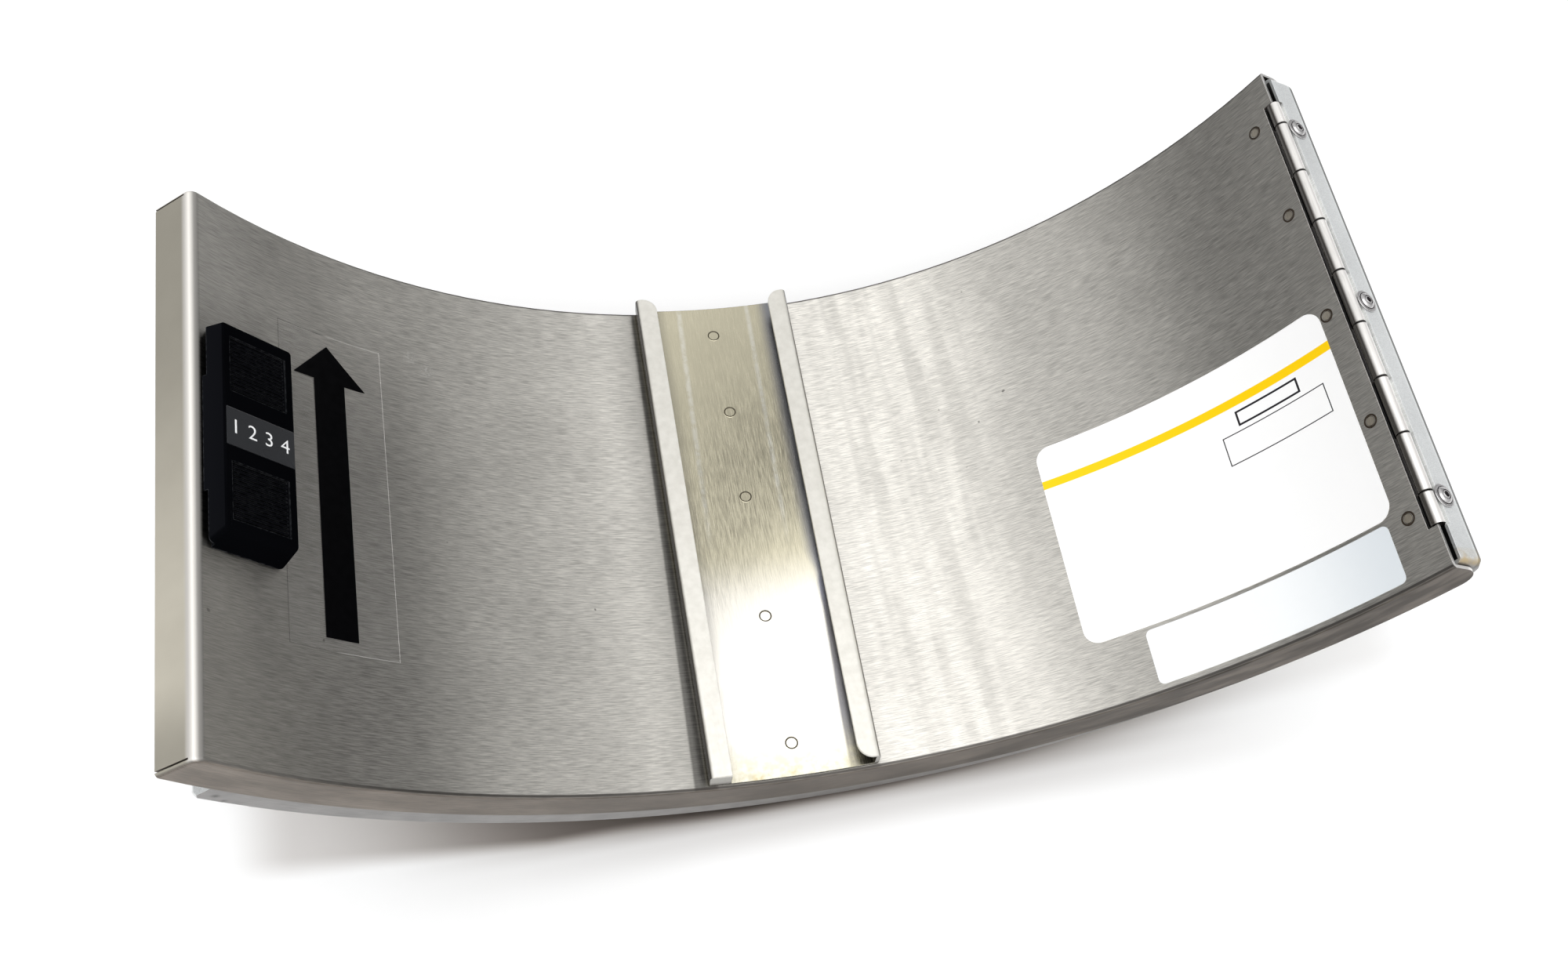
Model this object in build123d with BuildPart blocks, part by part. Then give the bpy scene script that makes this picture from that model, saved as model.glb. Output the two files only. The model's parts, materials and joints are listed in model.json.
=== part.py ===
from build123d import *
from math import asin, cos, degrees, radians, sin, sqrt
import os

# Curved film cassette with a hinged cover. Arc lengths are measured on the cover's concave face from its
# middle: negative towards the latch, positive towards the hinge. Depths are measured outwards from the
# concave face. The width runs along Y, and the cassette lies on the convex face of its tray.

# ---- cover sheet
COVER_RADIUS = 152.5          # concave face
COVER_WIDTH = 141.0
COVER_SHEET = 0.8
COVER_ARC = 312.0             # from the latch end flange to the free edge at the hinge
FLANGE_DEPTH = 11.4           # side and end flanges
END_BEND = 2.2                # outer radius where the end flange folds down
SIDE_FOLD = 1.0               # outer radius of the long folds
FLANGE_ROUND = 6.0            # rounded end of the side flanges at the hinge
SEAM_WIDTH = 0.4              # open seams between the end flange and the side flanges

# ---- tray
TRAY_DEPTH = 12.9             # convex face of the tray, cover shut
TRAY_SHEET = 1.0
TRAY_SIDE_CLEAR = 0.5         # tray wall to cover flange
TRAY_END_CLEAR = 0.7          # tray end wall to the end flange
TRAY_FOLD = 1.8               # outer fold radius round the convex sheet and up the hinge end's corners
TRAY_END_ROUND = 4.8          # outer radius where the hinge end wall turns into the convex sheet
TRAY_WALL_GAP = 0.6           # top of the side walls to the underside of the cover
TRAY_HINGE_CORNER = 4.4       # clipped corners of the convex sheet
TRAY_LATCH_CORNER = 2.6
LATCH_WALL_DEPTH = 6.0        # lowered top of the latch end wall
LATCH_WALL_SPAN = 88.0
AJAR = 3.4                    # degrees by which the cover stands open as modelled

# ---- piano hinge
PIN_FROM_EDGE = 0.6           # pin to the free edge of the cover sheet
PIN_DEPTH = 1.3
PIN_RADIUS = 0.8
PIN_FIT = 0.05                # running clearance, radial
PIN_SETBACK = 1.6             # pin ends inside the outer knuckles
BARREL_RADIUS = 1.6
LEAF_SHEET = 0.7
LEAF_WIDTH = 10.5             # cover leaf, from the pin
WALL_LEAF_HEIGHT = 6.5        # tray leaf, from the pin
HINGE_START = 60.3            # far end of the hinge along the width
HINGE_LENGTH = 120.0
FIRST_KNUCKLE = 6.7
KNUCKLE_PITCH = 15.03
KNUCKLE_COUNT = 9
KNUCKLE_GAP = 0.3
BARREL_CLEAR = 0.3            # everything else to a turning knuckle
NOTCH_SIDE = 0.3              # notch beyond each end of the hinge
TAB_REACH = 0.92              # lowest point below the pin that the cover sheet beside the hinge turns to
TAB_SWEEP = 1.43              # and the furthest from the pin
TAB_CLEAR = 0.3
RIVET_SHANK = 1.3
RIVET_FIT = 0.05
RIVET_HEAD = 3.0
RIVET_HEAD_HEIGHT = 1.0
RIVET_TAIL = 1.65
RIVET_TAIL_HEIGHT = 0.9
RIVET_MANDREL = 0.75
RIVET_MANDREL_DEPTH = 1.1
RIVET_DEPTH = 4.9
RIVET_PITCH = 52.6
RIVET_SHIFT = -0.2            # middle rivet along the width

# ---- film pack, round a film of 127 x 304.8 mm
FILM_SIDE_CLEAR = 1.7         # screens to the felts beside them
FILM_GAP = 0.45
SCREEN_SHEET = 1.0
FOIL_SHEET = 0.25
LAYER_GAP = 0.05              # glue line between curved layers
PACK_TO_HINGE = 9.4           # screens to the pin along the arc
PAD_TO_HINGE = 11.7           # foam pad to the pin along the arc
PAD_TO_BOLT = 0.66            # foam pad to the bolt
PAD_INSET = 0.5               # foam pad inside the edges of the screens
SEAL_WIDTH = 2.9
SEAL_SIDE_CLEAR = 0.1
SEAL_TOP_CLEAR = 0.4
LATCH_SEAL_DEPTH = 7.2
LATCH_SEAL_GAP = 2.0          # felt to the latch end wall
LATCH_SEAL_WIDTH = 4.0
HINGE_SEAL_WIDTH = 4.3
HINGE_SEAL_DEPTH = 1.95
HINGE_SEAL_BACK = 4.2         # felt to the pin along the arc

# ---- mounting channel
CHANNEL_ARC = -11.6
CHANNEL_WIDTH = 42.0
CHANNEL_SHEET = 1.0
CHANNEL_LENGTH = 140.0
CHANNEL_SHIFT = 0.4           # middle of its length along the width
CHANNEL_HEIGHT = 7.75         # lip top above the lowest line of the cover
LIP_WIDTH = 5.4
CHANNEL_BEND = 1.3
LIP_ROUND = 4.0

# ---- latch
BLOCK_ARC = -142.9
BLOCK_LENGTH = 55.0
BLOCK_WIDTH = 19.2
BLOCK_TOP = 5.6               # above the cover at the block's middle
BLOCK_LATCH_DRAFT = 0.6       # sides lean in by these, towards the latch end and the hinge
BLOCK_HINGE_DRAFT = 0.3
BLOCK_FAR_DRAFT = 1.2
BLOCK_NEAR_DRAFT = 2.5
BLOCK_EDGE = 0.4
BLOCK_ROUND = 4.2             # rounded corner at the near, inner side
BLOCK_LIFT = 0.65             # underside above the cover at the block's middle
BLOCK_SKIRT_SIDE = 2.0
BLOCK_SKIRT_END = 1.5
UNDERCUT_LENGTH = 13.0
UNDERCUT_HEIGHT = 0.9
UNDERCUT_WIDTH = 1.1
LATCH_TRAVEL = 9.4
GUIDE_SHEET = 1.0
GUIDE_CLEAR = 0.3
PAD_WIDTH = 14.6
PAD_LENGTH = 14.2
PAD_SPACING = 32.1
PAD_SHIFT = 0.85              # middle between the ribbed pads from the block's middle
PAD_POCKET = 0.35
RIB_PITCH = 0.95
RIB_GROOVE = 0.45
RIB_DEPTH = 0.45
RIB_COUNT = 15
TAPE_WIDTH = 9.5
TAPE_SHEET = 0.25
TAPE_SHIFT = 0.45
STUD_RADIUS = 1.5
STUD_SPACING = 26.0
STUD_HEAD = 2.75
STUD_HEAD_HEIGHT = 1.5
STUD_IN_BLOCK = 2.4
STUD_FIT = 0.05
SLOT_CLEAR = 0.3
BOLT_SHEET = 1.0
BOLT_CLEAR = 0.3              # bolt to the underside of the cover
BOLT_TO_HINGE = 3.4           # far edge of the bolt from the studs
BOLT_END = 2.0                # bolt beyond its fingers
FINGER_WIDTH = 7.5
FINGER_REACH = 4.6
KEEPER_SPACING = 32.0
KEEPER_WIDTH = 8.0
KEEPER_SHEET = 0.8
KEEPER_LIP = 4.6
KEEPER_DEPTH = 3.4            # top of the keeper lip, cover shut
KEEPER_GAP = 0.5              # lip to finger, latched
FINGER_CLEAR = 0.6            # lip to finger, sideways
KEEPER_FOOT = 11.2            # bottom of the keeper
KEEPER_RIVET = 1.2
KEEPER_RIVET_HEAD = 2.1
KEEPER_RIVET_DEPTH = 9.0
TOUCH = 0.02

# ---- labels
FILM_SHEET = 0.08
LABEL_SHEET = 0.12
LABEL_GAP = 0.03
ARROW_FILM_TO_BLOCK = 0.5     # along the arc
ARROW_FILM_WIDTH = 27.2       # along the arc
ARROW_FILM_LENGTH = 84.4      # along the width
ARROW_FILM_SHIFT = 2.8        # middle of its length along the width
MAIN_LABEL_TO_HINGE = 8.1     # to the pin along the arc
MAIN_LABEL_LENGTH = 80.4      # along the arc
MAIN_LABEL_WIDTH = 56.7
MAIN_LABEL_ROUND = 4.0
SMALL_LABEL_TO_HINGE = 10.5   # to the pin along the arc
SMALL_LABEL_LENGTH = 63.3
SMALL_LABEL_WIDTH = 14.3
SMALL_LABEL_MARGIN = 2.1      # to the near edge of the cover
SMALL_LABEL_ROUND = 1.5
LABELS_APART = 1.0


def angle(arc):
    """Degrees from the middle of the cover for an arc length on its concave face."""
    return degrees(arc / COVER_RADIUS)


def polar(depth, deg):
    """Side-view point at a depth below the concave face."""
    radius = COVER_RADIUS + depth
    return radius * sin(radians(deg)), -radius * cos(radians(deg))


cover_end_deg = angle(COVER_ARC / 2)
pin_deg = angle(COVER_ARC / 2 - PIN_FROM_EDGE)
tray_end_deg = -cover_end_deg + angle(COVER_SHEET + TRAY_END_CLEAR)
pin_s, pin_c = sin(radians(pin_deg)), cos(radians(pin_deg))
ajar_s, ajar_c = sin(radians(AJAR)), cos(radians(AJAR))

# The curve's axes in the side view. The tray's axis is straight above its lowest line; the cover's axis is
# the same point turned about the hinge pin. The origin is under the middle of the whole object.
pin_x, pin_z = polar(PIN_DEPTH, pin_deg)
cover_axis = pin_x - pin_x * ajar_c - pin_z * ajar_s, pin_z + pin_x * ajar_s - pin_z * ajar_c
fold_radius = COVER_RADIUS + TRAY_DEPTH - TRAY_END_ROUND
fold_side = BARREL_RADIUS - TRAY_END_ROUND
fold_x = sqrt(fold_radius**2 - fold_side**2) * pin_s + fold_side * pin_c
left_end = cover_axis[0] + polar(FLANGE_DEPTH, -cover_end_deg - AJAR)[0]
AXIS_X = -(left_end + fold_x + TRAY_END_ROUND) / 2
AXIS_Z = COVER_RADIUS + TRAY_DEPTH

tray_side = Plane(origin=(AXIS_X, 0, AXIS_Z), x_dir=(1, 0, 0), z_dir=(0, -1, 0))
cover_side = Plane(origin=(AXIS_X + cover_axis[0], 0, AXIS_Z + cover_axis[1]),
                   x_dir=(ajar_c, 0, -ajar_s), z_dir=(0, -1, 0))


def at_width(side, y):
    """The side view moved along the width; it faces -Y."""
    return Plane(origin=(side.origin.X, y, side.origin.Z), x_dir=side.x_dir, z_dir=side.z_dir)


def station(side, deg, depth=0.0):
    """A plane on the curve: X along the arc towards the hinge, Y along the width, Z to the curve's axis."""
    s, c = sin(radians(deg)), cos(radians(deg))
    origin = side.origin + (side.x_dir * s - side.y_dir * c) * (COVER_RADIUS + depth)
    return Plane(origin=origin, x_dir=side.x_dir * c + side.y_dir * s,
                 z_dir=side.y_dir * c - side.x_dir * s)


def side_at(place):
    """A side view whose origin is a station on the curve, X along the arc and Y to the curve's axis."""
    return Plane(origin=place.origin, x_dir=place.x_dir, z_dir=(0, -1, 0))


def facing_out(place, shift=0.0):
    """A plane across the arc at a station, X along the width, facing the hinge end."""
    return Plane(origin=place.origin + place.x_dir * shift, x_dir=(0, 1, 0), z_dir=place.x_dir)


def band(depth_in, depth_out, deg_from, deg_to):
    """Side-view outline between two depths and two angles."""
    with BuildSketch() as made:
        with BuildLine():
            inner = CenterArc((0, 0), COVER_RADIUS + depth_in, deg_from - 90, deg_to - deg_from)
            outer = CenterArc((0, 0), COVER_RADIUS + depth_out, deg_from - 90, deg_to - deg_from)
            Line(inner @ 0, outer @ 0)
            Line(inner @ 1, outer @ 1)
        make_face()
    return made.sketch


def corner_at(builder, point):
    """The corner of a sketch that is nearest to a side-view point."""
    return builder.vertices().sort_by_distance(Vertex(*Vector(point)))[0]


# ================================================================ cover
half_cover = COVER_WIDTH / 2
cover_in_deg = -cover_end_deg + angle(COVER_SHEET)
notch_far, notch_near = HINGE_START + NOTCH_SIDE, HINGE_START - HINGE_LENGTH - NOTCH_SIDE
notch_deg = pin_deg - angle(BARREL_RADIUS + BARREL_CLEAR + TOUCH)
channel_deg, block_deg = angle(CHANNEL_ARC), angle(BLOCK_ARC)
slot_width = 2 * (STUD_RADIUS + SLOT_CLEAR)
slot_length = LATCH_TRAVEL + slot_width
block_seat = station(cover_side, block_deg)

with BuildPart() as cover_shell:
    with BuildSketch(cover_side) as skin:
        add(band(0, FLANGE_DEPTH, -cover_end_deg, cover_end_deg))
        fillet(corner_at(skin, polar(0, -cover_end_deg)), END_BEND)
        fillet(corner_at(skin, polar(FLANGE_DEPTH, cover_end_deg)), FLANGE_ROUND)
    extrude(amount=half_cover, both=True)
    with BuildSketch(cover_side) as hollow:
        add(band(COVER_SHEET, 2 * FLANGE_DEPTH, cover_in_deg, 1.1 * cover_end_deg))
        fillet(corner_at(hollow, polar(COVER_SHEET, cover_in_deg)), END_BEND - COVER_SHEET)
    extrude(amount=half_cover - COVER_SHEET, both=True, mode=Mode.SUBTRACT)
    folds = cover_shell.edges().filter_by(
        lambda e: e.geom_type == GeomType.CIRCLE
        and abs(abs(e.center().Y) - half_cover) < 0.01 and abs(e.radius - COVER_RADIUS) < 0.01
    )
    fillet(folds, SIDE_FOLD)
    with BuildSketch(at_width(cover_side, notch_far)):
        add(band(-COVER_SHEET, 2 * COVER_SHEET, notch_deg, 1.1 * cover_end_deg))
    extrude(amount=notch_far - notch_near, mode=Mode.SUBTRACT)
    with BuildSketch(block_seat):
        with GridLocations(0, STUD_SPACING, 1, 2):
            SlotOverall(slot_length, slot_width, rotation=90)
    extrude(amount=2 * COVER_SHEET, both=True, mode=Mode.SUBTRACT)
    seam_y = half_cover - COVER_SHEET - SEAM_WIDTH / 2
    with BuildSketch(facing_out(station(cover_side, -cover_end_deg, END_BEND))):
        with Locations((-seam_y, 0), (seam_y, 0)):
            Rectangle(SEAM_WIDTH, 2 * FLANGE_DEPTH, align=(Align.CENTER, Align.MAX))
    extrude(amount=END_BEND, both=True, mode=Mode.SUBTRACT)
cover_shell.part.label = "cover_shell"

# ---- mounting channel: its floor follows the cover, its walls stand square to its middle
seat_radius = COVER_RADIUS - LABEL_GAP
floor_radius = seat_radius - CHANNEL_SHEET
half_channel = CHANNEL_WIDTH / 2
inner_half = half_channel - CHANNEL_SHEET
lip_top = CHANNEL_HEIGHT - COVER_RADIUS
lip_under = lip_top - CHANNEL_SHEET
lip_edge = half_channel - LIP_WIDTH
under_deg, over_deg = degrees(asin(half_channel / seat_radius)), degrees(asin(inner_half / floor_radius))
channel_far, channel_near = CHANNEL_SHIFT + CHANNEL_LENGTH / 2, CHANNEL_SHIFT - CHANNEL_LENGTH / 2
channel_seat = station(cover_side, channel_deg)
channel_side = Plane(origin=cover_side.origin, x_dir=channel_seat.x_dir, z_dir=(0, -1, 0))

with BuildPart() as mounting_channel:
    with BuildSketch(at_width(channel_side, channel_far)) as section:
        with BuildLine():
            under = CenterArc((0, 0), seat_radius, -90 - under_deg, 2 * under_deg)
            over = CenterArc((0, 0), floor_radius, -90 - over_deg, 2 * over_deg)
            Polyline(under @ 1, (half_channel, lip_top), (lip_edge, lip_top), (lip_edge, lip_under),
                     (inner_half, lip_under), over @ 1)
            Polyline(under @ 0, (-half_channel, lip_top), (-lip_edge, lip_top), (-lip_edge, lip_under),
                     (-inner_half, lip_under), over @ 0)
        make_face()
        fillet(corner_at(section, (half_channel, lip_top)), CHANNEL_BEND)
        fillet(corner_at(section, (-half_channel, lip_top)), CHANNEL_BEND)
        fillet(corner_at(section, under @ 1), CHANNEL_BEND)
        fillet(corner_at(section, under @ 0), CHANNEL_BEND)
    extrude(amount=CHANNEL_LENGTH)
    lip_ends = mounting_channel.edges().filter_by(Axis((0, 0, 0), channel_seat.z_dir)).filter_by(
        lambda e: abs(abs(channel_seat.to_local_coords(e.center()).X) - lip_edge) < 0.01
        and (e.center().Y > CHANNEL_SHIFT or channel_seat.to_local_coords(e.center()).X > 0)
    )
    fillet(lip_ends, LIP_ROUND)
    with BuildSketch(at_width(channel_side, channel_near + CHANNEL_SHEET)):
        with BuildLine():
            Polyline((-inner_half, lip_under), (-lip_edge, lip_under),
                     (-lip_edge, -sqrt(floor_radius**2 - lip_edge**2)), over @ 0, close=True)
        make_face()
    extrude(amount=CHANNEL_SHEET)
mounting_channel.part.label = "mounting_channel"

# ---- piano hinge
hinge_near = HINGE_START - HINGE_LENGTH
joints = [HINGE_START]
joints += [HINGE_START - FIRST_KNUCKLE - KNUCKLE_PITCH * i for i in range(KNUCKLE_COUNT - 1)]
joints += [hinge_near]
spans = list(zip(joints[:-1], joints[1:]))
tray_spans, cover_spans = spans[0::2], spans[1::2]
pin_side = side_at(station(cover_side, pin_deg, PIN_DEPTH))
tray_pin = station(tray_side, pin_deg, PIN_DEPTH)
tray_pin_side = side_at(tray_pin)
leaf_top = COVER_SHEET + LAYER_GAP
leaf_end_deg = pin_deg - angle(LEAF_WIDTH)

with BuildPart() as hinge_leaf_cover:
    with BuildSketch(at_width(cover_side, HINGE_START)):
        add(band(leaf_top, leaf_top + LEAF_SHEET, leaf_end_deg, pin_deg))
    extrude(amount=HINGE_LENGTH)
    with BuildSketch(at_width(pin_side, HINGE_START)):
        Circle(BARREL_RADIUS)
    extrude(amount=HINGE_LENGTH)
    for far, near in tray_spans:
        with BuildSketch(at_width(pin_side, far + KNUCKLE_GAP / 2)):
            Circle(BARREL_RADIUS + BARREL_CLEAR)
        extrude(amount=far - near + KNUCKLE_GAP, mode=Mode.SUBTRACT)
    with BuildSketch(at_width(pin_side, HINGE_START)):
        Circle(PIN_RADIUS + PIN_FIT)
    extrude(amount=HINGE_LENGTH, mode=Mode.SUBTRACT)
hinge_leaf_cover.part.label = "hinge_leaf_cover"

wall_in = BARREL_RADIUS - TRAY_SHEET
leaf_out = wall_in - TOUCH
leaf_in = leaf_out - LEAF_SHEET
rivet_low = PIN_DEPTH - RIVET_DEPTH
with BuildPart() as hinge_leaf_tray:
    with BuildSketch(at_width(tray_pin_side, HINGE_START)):
        with Locations((leaf_in, 0)):
            Rectangle(LEAF_SHEET, WALL_LEAF_HEIGHT, align=(Align.MIN, Align.MAX))
    extrude(amount=HINGE_LENGTH)
    with BuildSketch(at_width(tray_pin_side, HINGE_START)):
        Circle(BARREL_RADIUS)
    extrude(amount=HINGE_LENGTH)
    for far, near in cover_spans:
        with BuildSketch(at_width(tray_pin_side, far + KNUCKLE_GAP / 2)):
            Circle(BARREL_RADIUS + BARREL_CLEAR)
        extrude(amount=far - near + KNUCKLE_GAP, mode=Mode.SUBTRACT)
    with BuildSketch(at_width(tray_pin_side, HINGE_START)):
        Circle(PIN_RADIUS + PIN_FIT)
    extrude(amount=HINGE_LENGTH, mode=Mode.SUBTRACT)
    with BuildSketch(facing_out(tray_pin)):
        with Locations((RIVET_SHIFT, rivet_low)):
            with GridLocations(RIVET_PITCH, 0, 3, 1):
                Circle(RIVET_SHANK + RIVET_FIT)
    extrude(amount=BARREL_RADIUS, both=True, mode=Mode.SUBTRACT)
hinge_leaf_tray.part.label = "hinge_leaf_tray"

with BuildPart() as hinge_pin:
    with BuildSketch(at_width(pin_side, HINGE_START - PIN_SETBACK)):
        Circle(PIN_RADIUS)
    extrude(amount=HINGE_LENGTH - 2 * PIN_SETBACK)
hinge_pin.part.label = "hinge_pin"

# ================================================================ tray
half_tray = half_cover - COVER_SHEET - TRAY_SIDE_CLEAR
wall_top = COVER_SHEET + TRAY_WALL_GAP
floor_depth = TRAY_DEPTH - TRAY_SHEET
tray_in_deg = tray_end_deg + angle(TRAY_SHEET)
past_deg = 1.1 * cover_end_deg
latch_foot = polar(TRAY_DEPTH, tray_end_deg)
end_corner = polar(TRAY_DEPTH, pin_deg + angle(BARREL_RADIUS))
tray_wall = station(tray_side, tray_end_deg)
hinge_wall = station(tray_side, pin_deg)


def wall_cut(deg, side, keep):
    """The region of the side view on one side of a wall face, 'side' along the arc from a station."""
    face_x, face_y = polar(0, deg)
    with BuildSketch() as made:
        with Locations((face_x + side * cos(radians(deg)), face_y + side * sin(radians(deg)))):
            Rectangle(COVER_WIDTH, COVER_WIDTH, rotation=deg, align=(keep, Align.CENTER))
    return made.sketch


def clip_plane(place, shift, depth, half_width, clip, inwards, y_sign):
    """The plane that cuts a lower corner off at 'clip' along each of its three edges."""
    into = place.x_dir * inwards
    across = Vector(0, -y_sign, 0)
    corner = place.origin + place.x_dir * shift - place.z_dir * depth + Vector(0, y_sign * half_width, 0)
    return Plane(origin=corner + (into + across + place.z_dir) * (clip / 3),
                 z_dir=(into + across + place.z_dir) * -1)


corner_cuts = ((hinge_wall, BARREL_RADIUS, TRAY_HINGE_CORNER, -1), (tray_wall, 0.0, TRAY_LATCH_CORNER, 1))
with BuildPart() as tray_hollow:
    with BuildSketch(tray_side) as cavity:
        add(band(wall_top - TRAY_SHEET, floor_depth, tray_end_deg, past_deg))
        add(wall_cut(tray_end_deg, TRAY_SHEET, Align.MAX), mode=Mode.SUBTRACT)
        add(wall_cut(pin_deg, wall_in, Align.MIN), mode=Mode.SUBTRACT)
        fillet(corner_at(cavity, end_corner), TRAY_END_ROUND - TRAY_SHEET)
    extrude(amount=half_tray - TRAY_SHEET, both=True)
    for place, shift, clip, inwards in corner_cuts:
        for y_sign in (-1, 1):
            split(bisect_by=clip_plane(place, shift + inwards * TRAY_SHEET, floor_depth,
                                       half_tray - TRAY_SHEET, clip, inwards, y_sign), keep=Keep.BOTTOM)

with BuildPart() as front_tray:
    with BuildSketch(tray_side) as box:
        add(band(wall_top, TRAY_DEPTH, tray_end_deg, past_deg))
        add(wall_cut(pin_deg, BARREL_RADIUS, Align.MIN), mode=Mode.SUBTRACT)
        fillet(corner_at(box, end_corner), TRAY_END_ROUND)
    extrude(amount=half_tray, both=True)
    side_folds = front_tray.edges().filter_by(
        lambda e: abs(abs(e.center().Y) - half_tray) < 0.01
        and abs(tray_wall.to_local_coords(e.center()).X) > TRAY_SHEET
        and not (e.geom_type == GeomType.CIRCLE and abs(e.radius - COVER_RADIUS - wall_top) < 0.01)
    )
    latch_fold = front_tray.edges().sort_by_distance(tray_side.from_local_coords((*latch_foot, 0)))[:1]
    fillet(side_folds + latch_fold, TRAY_FOLD)
    for place, shift, clip, inwards in corner_cuts:
        for y_sign in (-1, 1):
            split(bisect_by=clip_plane(place, shift, TRAY_DEPTH, half_tray, clip, inwards, y_sign),
                  keep=Keep.BOTTOM)
    add(tray_hollow.part, mode=Mode.SUBTRACT)
    # hinge end wall: under the barrel, and under the corners of the cover sheet that turn past it
    clear_in = -BARREL_RADIUS / 2
    with BuildSketch(at_width(tray_pin_side, notch_far)):
        with Locations((clear_in, -BARREL_RADIUS - BARREL_CLEAR)):
            Rectangle(2 * BARREL_RADIUS + TRAY_SHEET, TRAY_DEPTH, align=(Align.MIN, Align.MIN))
    extrude(amount=notch_far - notch_near, mode=Mode.SUBTRACT)
    with BuildSketch(tray_pin_side):
        Circle(TAB_SWEEP + TAB_CLEAR)
        with Locations((0, -TAB_REACH - TAB_CLEAR)):
            Rectangle(COVER_WIDTH, TRAY_DEPTH, align=(Align.CENTER, Align.MAX), mode=Mode.SUBTRACT)
        with Locations((clear_in, 0)):
            Rectangle(2 * BARREL_RADIUS + TRAY_SHEET, TRAY_DEPTH, align=(Align.MIN, Align.MIN))
    extrude(amount=half_cover, both=True, mode=Mode.SUBTRACT)
    # latch end wall: lowered where the fingers of the bolt swing over it
    with BuildSketch(tray_side):
        add(band(-TRAY_SHEET, LATCH_WALL_DEPTH, tray_end_deg - angle(1), tray_in_deg + angle(1)))
    extrude(amount=LATCH_WALL_SPAN / 2, both=True, mode=Mode.SUBTRACT)
    with BuildSketch(facing_out(tray_pin)):
        with Locations((RIVET_SHIFT, rivet_low)):
            with GridLocations(RIVET_PITCH, 0, 3, 1):
                Circle(RIVET_SHANK + RIVET_FIT)
    extrude(amount=2 * BARREL_RADIUS, both=True, mode=Mode.SUBTRACT)
    with BuildSketch(facing_out(tray_wall)):
        with Locations((0, -KEEPER_RIVET_DEPTH)):
            with GridLocations(KEEPER_SPACING, 0, 2, 1):
                Circle(KEEPER_RIVET + RIVET_FIT)
    extrude(amount=2 * TRAY_SHEET, both=True, mode=Mode.SUBTRACT)
front_tray.part.label = "front_tray"

rivet_spots = [RIVET_SHIFT + RIVET_PITCH * i for i in (-1, 0, 1)]
head_top = BARREL_RADIUS + RIVET_HEAD_HEIGHT
with BuildPart() as hinge_rivets:
    for y in rivet_spots:
        with BuildSketch(side_at(Plane(origin=tray_pin.origin + Vector(0, y, 0) + tray_pin.z_dir * rivet_low,
                                       x_dir=tray_pin.x_dir, z_dir=tray_pin.z_dir))):
            with BuildLine():
                Polyline((leaf_in - RIVET_TAIL_HEIGHT, 0), (leaf_in - RIVET_TAIL_HEIGHT, RIVET_SHANK),
                         (leaf_in - TOUCH, RIVET_TAIL), (leaf_in - TOUCH, RIVET_SHANK),
                         (BARREL_RADIUS, RIVET_SHANK), (BARREL_RADIUS, RIVET_HEAD))
                ThreePointArc((BARREL_RADIUS, RIVET_HEAD),
                              (BARREL_RADIUS + 0.72 * RIVET_HEAD_HEIGHT, 0.7 * RIVET_HEAD),
                              (head_top, RIVET_MANDREL))
                Polyline((head_top, RIVET_MANDREL), (head_top - RIVET_MANDREL_DEPTH, RIVET_MANDREL),
                         (head_top - RIVET_MANDREL_DEPTH, 0), (leaf_in - RIVET_TAIL_HEIGHT, 0))
            make_face()
        revolve(axis=Axis(tray_pin.origin + Vector(0, y, 0) + tray_pin.z_dir * rivet_low, tray_pin.x_dir))
hinge_rivets.part.label = "hinge_rivets"

# ---- keepers and their rivets, inside the latch end wall
keeper_back = TRAY_SHEET + TOUCH
keeper_spots = (-KEEPER_SPACING / 2, KEEPER_SPACING / 2)
keeper_in = keeper_back + KEEPER_SHEET
lip_low = -KEEPER_DEPTH - KEEPER_SHEET
with BuildPart() as latch_keepers:
    for y in keeper_spots:
        with BuildSketch(at_width(side_at(tray_wall), y + KEEPER_WIDTH / 2)):
            with BuildLine():
                Polyline((keeper_back, -KEEPER_FOOT), (keeper_back, -KEEPER_DEPTH),
                         (keeper_back + KEEPER_LIP, -KEEPER_DEPTH), (keeper_back + KEEPER_LIP, lip_low),
                         (keeper_in, lip_low), (keeper_in, -KEEPER_FOOT), close=True)
            make_face()
        extrude(amount=KEEPER_WIDTH)
    with BuildSketch(facing_out(tray_wall)):
        with Locations((0, -KEEPER_RIVET_DEPTH)):
            with GridLocations(KEEPER_SPACING, 0, 2, 1):
                Circle(KEEPER_RIVET + RIVET_FIT)
    extrude(amount=keeper_in + TOUCH, mode=Mode.SUBTRACT)
latch_keepers.part.label = "latch_keepers"

with BuildPart() as keeper_rivets:
    with BuildSketch(facing_out(tray_wall)):
        with Locations((0, -KEEPER_RIVET_DEPTH)):
            with GridLocations(KEEPER_SPACING, 0, 2, 1):
                Circle(KEEPER_RIVET)
    extrude(amount=keeper_in)
    with BuildSketch(facing_out(tray_wall, keeper_in)):
        with Locations((0, -KEEPER_RIVET_DEPTH)):
            with GridLocations(KEEPER_SPACING, 0, 2, 1):
                Circle(KEEPER_RIVET_HEAD)
    extrude(amount=KEEPER_SHEET)
keeper_rivets.part.label = "keeper_rivets"

# ================================================================ film pack
foil_out = leaf_top + FOIL_SHEET
pad_in = leaf_top + LEAF_SHEET + LAYER_GAP
front_screen_out = floor_depth - LAYER_GAP
front_screen_in = front_screen_out - SCREEN_SHEET
rear_screen_out = front_screen_in - FILM_GAP
rear_screen_in = rear_screen_out - SCREEN_SHEET
screen_to = pin_deg - angle(PACK_TO_HINGE)
pad_from, pad_to = block_deg + angle(BOLT_TO_HINGE + PAD_TO_BOLT), pin_deg - angle(PAD_TO_HINGE)
screen_from = pad_from - angle(PAD_INSET)
seal_out = half_tray - TRAY_SHEET - SEAL_SIDE_CLEAR
half_film = seal_out - SEAL_WIDTH - FILM_SIDE_CLEAR

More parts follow.
